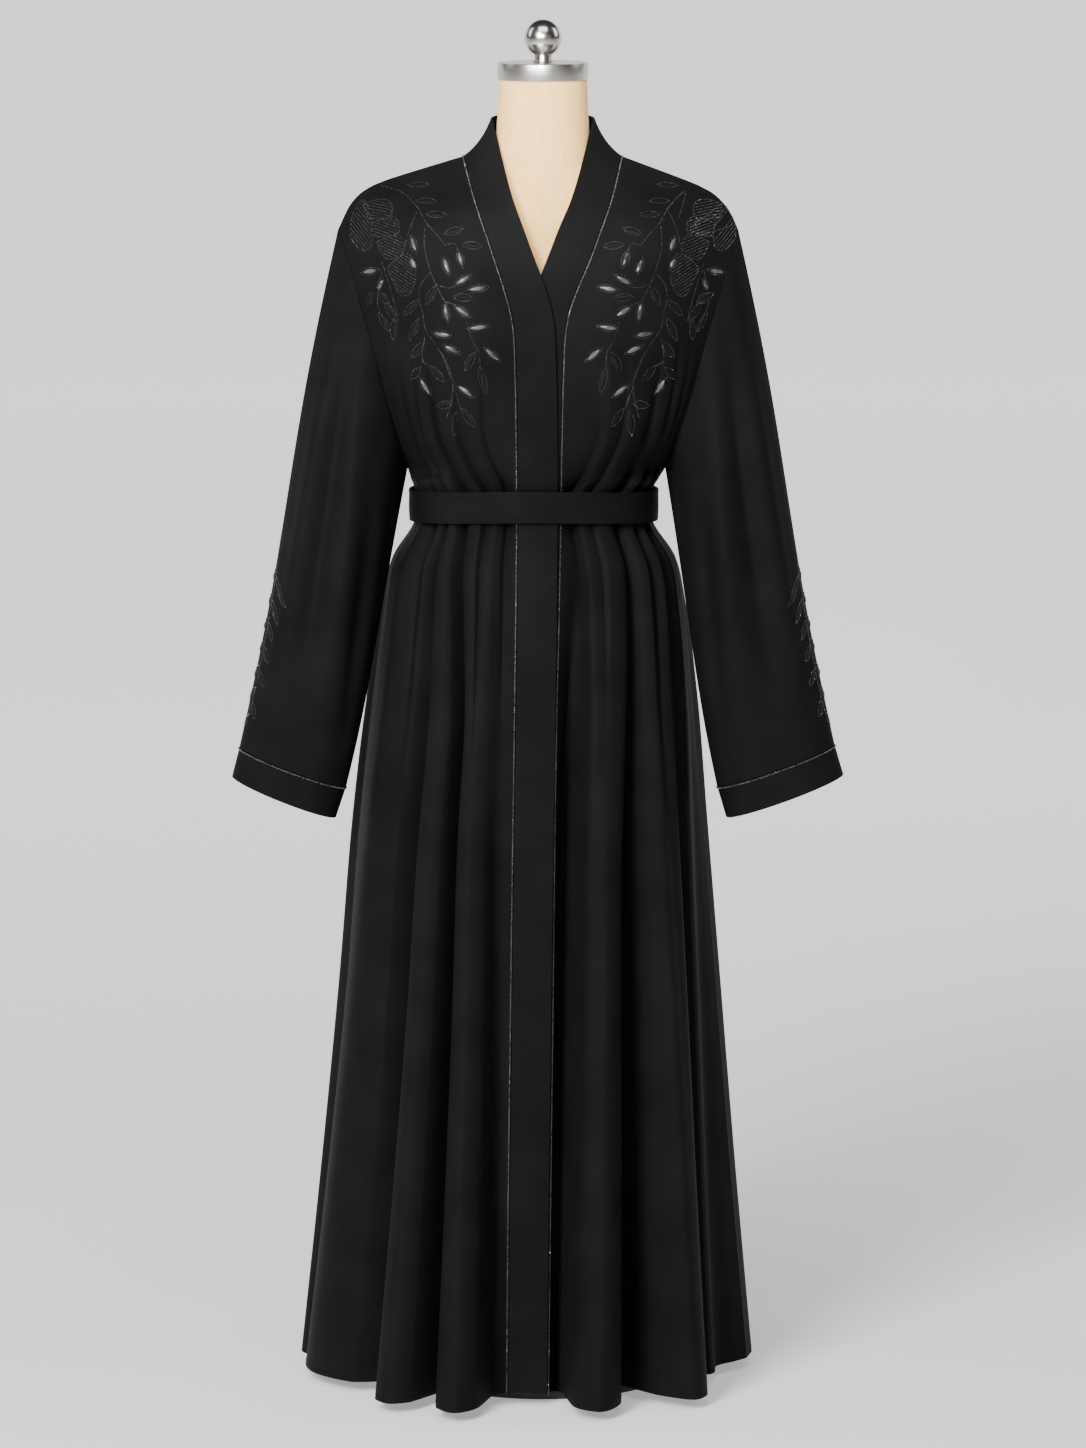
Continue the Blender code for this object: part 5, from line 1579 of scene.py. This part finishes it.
stitches = []
for name in ("front_right", "front_left", "back", "band_right", "band_left"):
    tree_and_name = surface(name)
    points, ways = even_points(hem_line(grids[name]), STITCH_PITCH)
    places = []
    for point, way in zip(points[1:-1], ways[1:-1]):
        place, up = on_cloth(tree_and_name, point)
        size = (STITCH_LENGTH, STITCH_THICKNESS, STITCH_THICKNESS)
        places.append((place + up * STITCH_THICKNESS * STITCH_SEAT, way, up, size))
    stitches.append(copies(f"stitches_{name}", stitch, places, silk))
print("stitches", face_counts(stitches))

# %% [markdown]
# ## The padded form
#
# The form's body is foam under a linen cover. It is built from level rings that are wider than deep at the
# shoulders and round at the neck. The cover is sewn from panels, so a fine groove runs down the centre front
# and another round the root of the neck. Extra points on both sides of a groove keep it sharp.

# %% Make the form's body
FORM_X = 6 * MM
# Each ring of the form: its height, its half width, how deep it is in front and at the back, and how square.
FORM_ROWS = (
    (700.0, 128.0, 78.0, 84.0, 2.0),
    (716.0, 142.0, 88.0, 94.0, 2.0),
    (760.0, 150.0, 95.0, 100.0, 2.1),
    (840.0, 148.0, 94.0, 100.0, 2.1),
    (920.0, 130.0, 84.0, 90.0, 2.1),
    (1003.0, 112.0, 74.0, 76.0, 2.0),
    (1070.0, 120.0, 82.0, 80.0, 2.0),
    (1130.0, 133.0, 97.0, 86.0, 2.1),
    (1175.0, 145.0, 104.0, 90.0, 2.2),
    (1225.0, 157.0, 100.0, 92.0, 2.2),
    (1270.0, 170.0, 90.0, 88.0, 2.1),
    (1310.0, 181.0, 78.0, 78.0, 1.9),
    (1338.0, 181.0, 69.0, 69.0, 1.6),
    (1355.0, 168.0, 63.0, 63.0, 1.4),
    (1368.0, 146.0, 58.5, 59.0, 1.3),
    (1380.0, 110.0, 54.5, 55.0, 1.3),
    (1391.0, 71.0, 51.0, 51.5, 1.6),
    (1406.0, 56.5, 50.0, 51.0, 2.0),
    (1440.0, 51.5, 50.0, 50.0, 2.0),
    (1485.0, 49.5, 49.5, 49.5, 2.0),
)
FORM_RING_STEPS = 10
FORM_SIDES = 96
FRONT_DEG = 270.0
SEAM_SPREAD_DEG = (-3.0, -1.8, -1.0, -0.5, 0.0, 0.5, 1.0, 1.8, 3.0)
NECK_SEAM_HEIGHT = 1398.0
NECK_SEAM_DIP = 12.0
NECK_SEAM_SPREAD = (-6.0, -4.0, -2.5, -1.4, -0.7, 0.0, 0.7, 1.4, 2.5, 4.0, 6.0)
NECK_SEAM_REACH = 18.0
GROOVE_DEPTH = 0.7 * MM
GROOVE_WIDTH = 0.8

form_values = np.array(FORM_ROWS)
form_spacing = np.sqrt(np.diff(form_values[:, 0]) * MM)
form_dense = through(form_values, form_spacing, [FORM_RING_STEPS] * (len(FORM_ROWS) - 1))


def form_point(degrees, height):
    """A point of the form's cover, with the grooves pressed in. height in millimetres."""
    angle = math.radians(degrees)
    half_width, front, back, squareness = [
        np.interp(height, form_dense[:, 0], form_dense[:, column]) for column in (1, 2, 3, 4)
    ]
    power = 2 / squareness
    across = math.copysign(abs(math.cos(angle)) ** power, math.cos(angle))
    deep = math.copysign(abs(math.sin(angle)) ** power, math.sin(angle))
    point = np.array([half_width * across, (back if deep > 0 else front) * deep, 0.0]) * MM
    off_front = math.radians(degrees - FRONT_DEG) * front
    off_neck = height - NECK_SEAM_HEIGHT + NECK_SEAM_DIP * max(-math.sin(angle), 0.0) ** 2
    groove = max(math.exp(-((off_front / GROOVE_WIDTH) ** 2)), math.exp(-((off_neck / GROOVE_WIDTH) ** 2)))
    point -= point / np.linalg.norm(point) * GROOVE_DEPTH * groove
    return point + (FORM_X, 0.0, height * MM)


def form_heights(degrees):
    """Heights of the rings at one side of the form: the rings near the neck follow its seam."""
    dip = NECK_SEAM_DIP * max(-math.sin(math.radians(degrees)), 0.0) ** 2
    plain = [h for h in form_dense[:, 0] if abs(h - NECK_SEAM_HEIGHT) > NECK_SEAM_SPREAD[-1] + 1]
    heights = sorted(plain + [NECK_SEAM_HEIGHT + off for off in NECK_SEAM_SPREAD])
    return [h - dip * math.exp(-(((h - NECK_SEAM_HEIGHT) / NECK_SEAM_REACH) ** 2)) for h in heights]


form_degrees = [360.0 * k / FORM_SIDES for k in range(FORM_SIDES)]
form_degrees = [d for d in form_degrees if abs(d - FRONT_DEG) > SEAM_SPREAD_DEG[-1]]
form_degrees = sorted(form_degrees + [FRONT_DEG + off for off in SEAM_SPREAD_DEG])
form_columns = [[form_point(d, h) for h in form_heights(d)] for d in form_degrees]
shape = bmesh.new()
made = [[shape.verts.new(p) for p in column] for column in form_columns]
for k, column in enumerate(made):
    beside = made[(k + 1) % len(made)]
    for r in range(len(column) - 1):
        shape.faces.new((column[r], beside[r], beside[r + 1], column[r + 1]))
shape.faces.new([column[0] for column in made][::-1])
shape.faces.new([column[-1] for column in made])
bmesh.ops.recalc_face_normals(shape, faces=shape.faces[:])
form_mesh = bpy.data.meshes.new("linen_form")
shape.to_mesh(form_mesh)
shape.free()
form = show("linen_form", form_mesh, linen)
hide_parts("form_torso")
print("form faces", len(form.data.polygons))

# %% [markdown]
# ## The metal cap, finial, pole and base
#
# These are turned from solid metal on a lathe. Each starts as a cylinder or a ball of its own size. The
# finial's stem gets a waist and a foot ring from inset and extruded faces, and all edges are broken
# by a small bevel, because a sharp metal edge never shows a highlight.

# %% A helper for turned metal
BEVEL_DEG = 50
SMOOTH_DEG = 35


def heights_of(node):
    """The lowest and the highest level of a piece of the plain model."""
    return [corner[2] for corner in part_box(node)]


def round_bar(sides, radius, low, high):
    """A cylinder on the form's axis, between two levels."""
    bpy.ops.mesh.primitive_cylinder_add(
        vertices=sides, radius=radius, depth=high - low, location=(FORM_X, 0, (low + high) / 2)
    )
    return bpy.context.object


def metal_piece(thing, name, finish, node, bevel_width, segments=3):
    """Bevels a primitive, fixes its place in its mesh, gives it its finish and the root body, and hides the
    plain model's part.
    """
    settle(thing, name)
    edge = thing.modifiers.new("edge", "BEVEL")
    edge.width = bevel_width
    edge.segments = segments
    edge.limit_method = "ANGLE"
    edge.angle_limit = math.radians(BEVEL_DEG)
    apply_all(thing)
    bpy.ops.object.shade_smooth_by_angle(angle=math.radians(SMOOTH_DEG))
    thing.data.materials.append(finish)
    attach(thing, "root")
    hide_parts(node)


# %% Turn the cap and the finial
CAP_RADIUS = 51.2 * MM
CAP_SIDES = 128
BALL_RADIUS = 21 * MM
STEM_RADIUS = 11 * MM
STEM_SIDES = 64
WAIST_RADIUS = 9.6 * MM
STEM_RING = 2.0 * MM
STEM_INTO_BALL = 1.5 * MM

cap = round_bar(CAP_SIDES, CAP_RADIUS, *heights_of("neck_cap"))
metal_piece(cap, "nickel_cap", nickel, "neck_cap", 0.9 * MM)

finial_low, finial_high = heights_of("neck_finial")
ball_place = (FORM_X, 0, finial_high - BALL_RADIUS)
bpy.ops.mesh.primitive_uv_sphere_add(segments=64, ring_count=40, radius=BALL_RADIUS, location=ball_place)
ball = bpy.context.object
stem_top = finial_high - BALL_RADIUS * (1 + math.cos(math.asin(STEM_RADIUS / BALL_RADIUS)))
waist_height = stem_top - finial_low - 2 * STEM_RING + STEM_INTO_BALL
stem = round_bar(STEM_SIDES, STEM_RADIUS, finial_low, finial_low + STEM_RING)
pick(stem, "FACE", looks_up)
bpy.ops.mesh.inset(thickness=STEM_RADIUS - WAIST_RADIUS)
bpy.ops.mesh.extrude_region_move(TRANSFORM_OT_translate={"value": (0, 0, waist_height)})
bpy.ops.object.mode_set(mode="OBJECT")
metal_piece(stem, "nickel_stem", polished, "neck_finial", 0.35 * MM)
metal_piece(ball, "nickel_ball", polished, "neck_finial", 0.05 * MM, 1)
print("finial from", round(finial_low, 4), "to", round(finial_high, 4))

# %% Turn the pole and the base
POLE_RADIUS = 12.5 * MM
POLE_SIDES = 64
BASE_RADIUS = 150 * MM
BASE_SIDES = 160

pole = round_bar(POLE_SIDES, POLE_RADIUS, *heights_of("stand_pole"))
metal_piece(pole, "nickel_pole", nickel, "stand_pole", 0.5 * MM)
base = round_bar(BASE_SIDES, BASE_RADIUS, *heights_of("stand_base"))
metal_piece(base, "steel_base", painted, "stand_base", 2.0 * MM, 4)
print("pole and base made")

# %% [markdown]
# ## The cut
#
# A pattern cutter needs the size of every piece before it was sewn and hung. The fine points give it: the
# longest way across, the longest way down, and the area, which is smaller because the panels flare.

# %% Print every piece of cloth with its cut
def cut_of(grid, closed):
    """Width, length and area of a piece laid flat, in metres."""
    rows = np.concatenate([grid, grid[:, :1]], axis=1) if closed else grid
    across = np.linalg.norm(np.diff(rows, axis=1), axis=2).sum(axis=1)
    down = np.linalg.norm(np.diff(rows, axis=0), axis=2).sum(axis=0)
    one = np.cross(rows[1:, :-1] - rows[:-1, :-1], rows[:-1, 1:] - rows[:-1, :-1])
    two = np.cross(rows[1:, :-1] - rows[1:, 1:], rows[:-1, 1:] - rows[1:, 1:])
    area = (np.linalg.norm(one, axis=2) + np.linalg.norm(two, axis=2)).sum() / 2
    return float(across.max()), float(down.max()), float(area)


grids["belt"] = belt_points
RESTS_ON = {"back": ["form_torso"], "belt": ["crepe_front_right", "crepe_front_left", "crepe_back"]}
for side in ("right", "left"):
    RESTS_ON[f"front_{side}"] = RESTS_ON[f"allowance_side_{side}"] = ["crepe_back"]
    RESTS_ON[f"band_{side}"] = RESTS_ON[f"allowance_band_{side}"] = [f"crepe_front_{side}"]
    RESTS_ON[f"sleeve_{side}"] = [f"crepe_front_{side}", "crepe_back"]
    RESTS_ON[f"cuff_{side}"] = [f"crepe_sleeve_{side}"]
trim_of = {piece.name.removeprefix("beads_"): piece for piece in trims}
stitches_of = {piece.name.removeprefix("stitches_"): piece for piece in stitches}
cloth.update(allowances)
for name, piece in cloth.items():
    width, length, area = cut_of(grids[name], name in TUBES)
    sewn_on = list(sprays.get(name, []))
    sewn_on += [found[name] for found in (trim_of, stitches_of) if name in found]
    if name == "back":
        sewn_on.append(trim_of["neck"])
    print(f"{name} cut {width:.3f} x {length:.3f} m, area {area:.3f}, with {len(sewn_on)} sewn on")
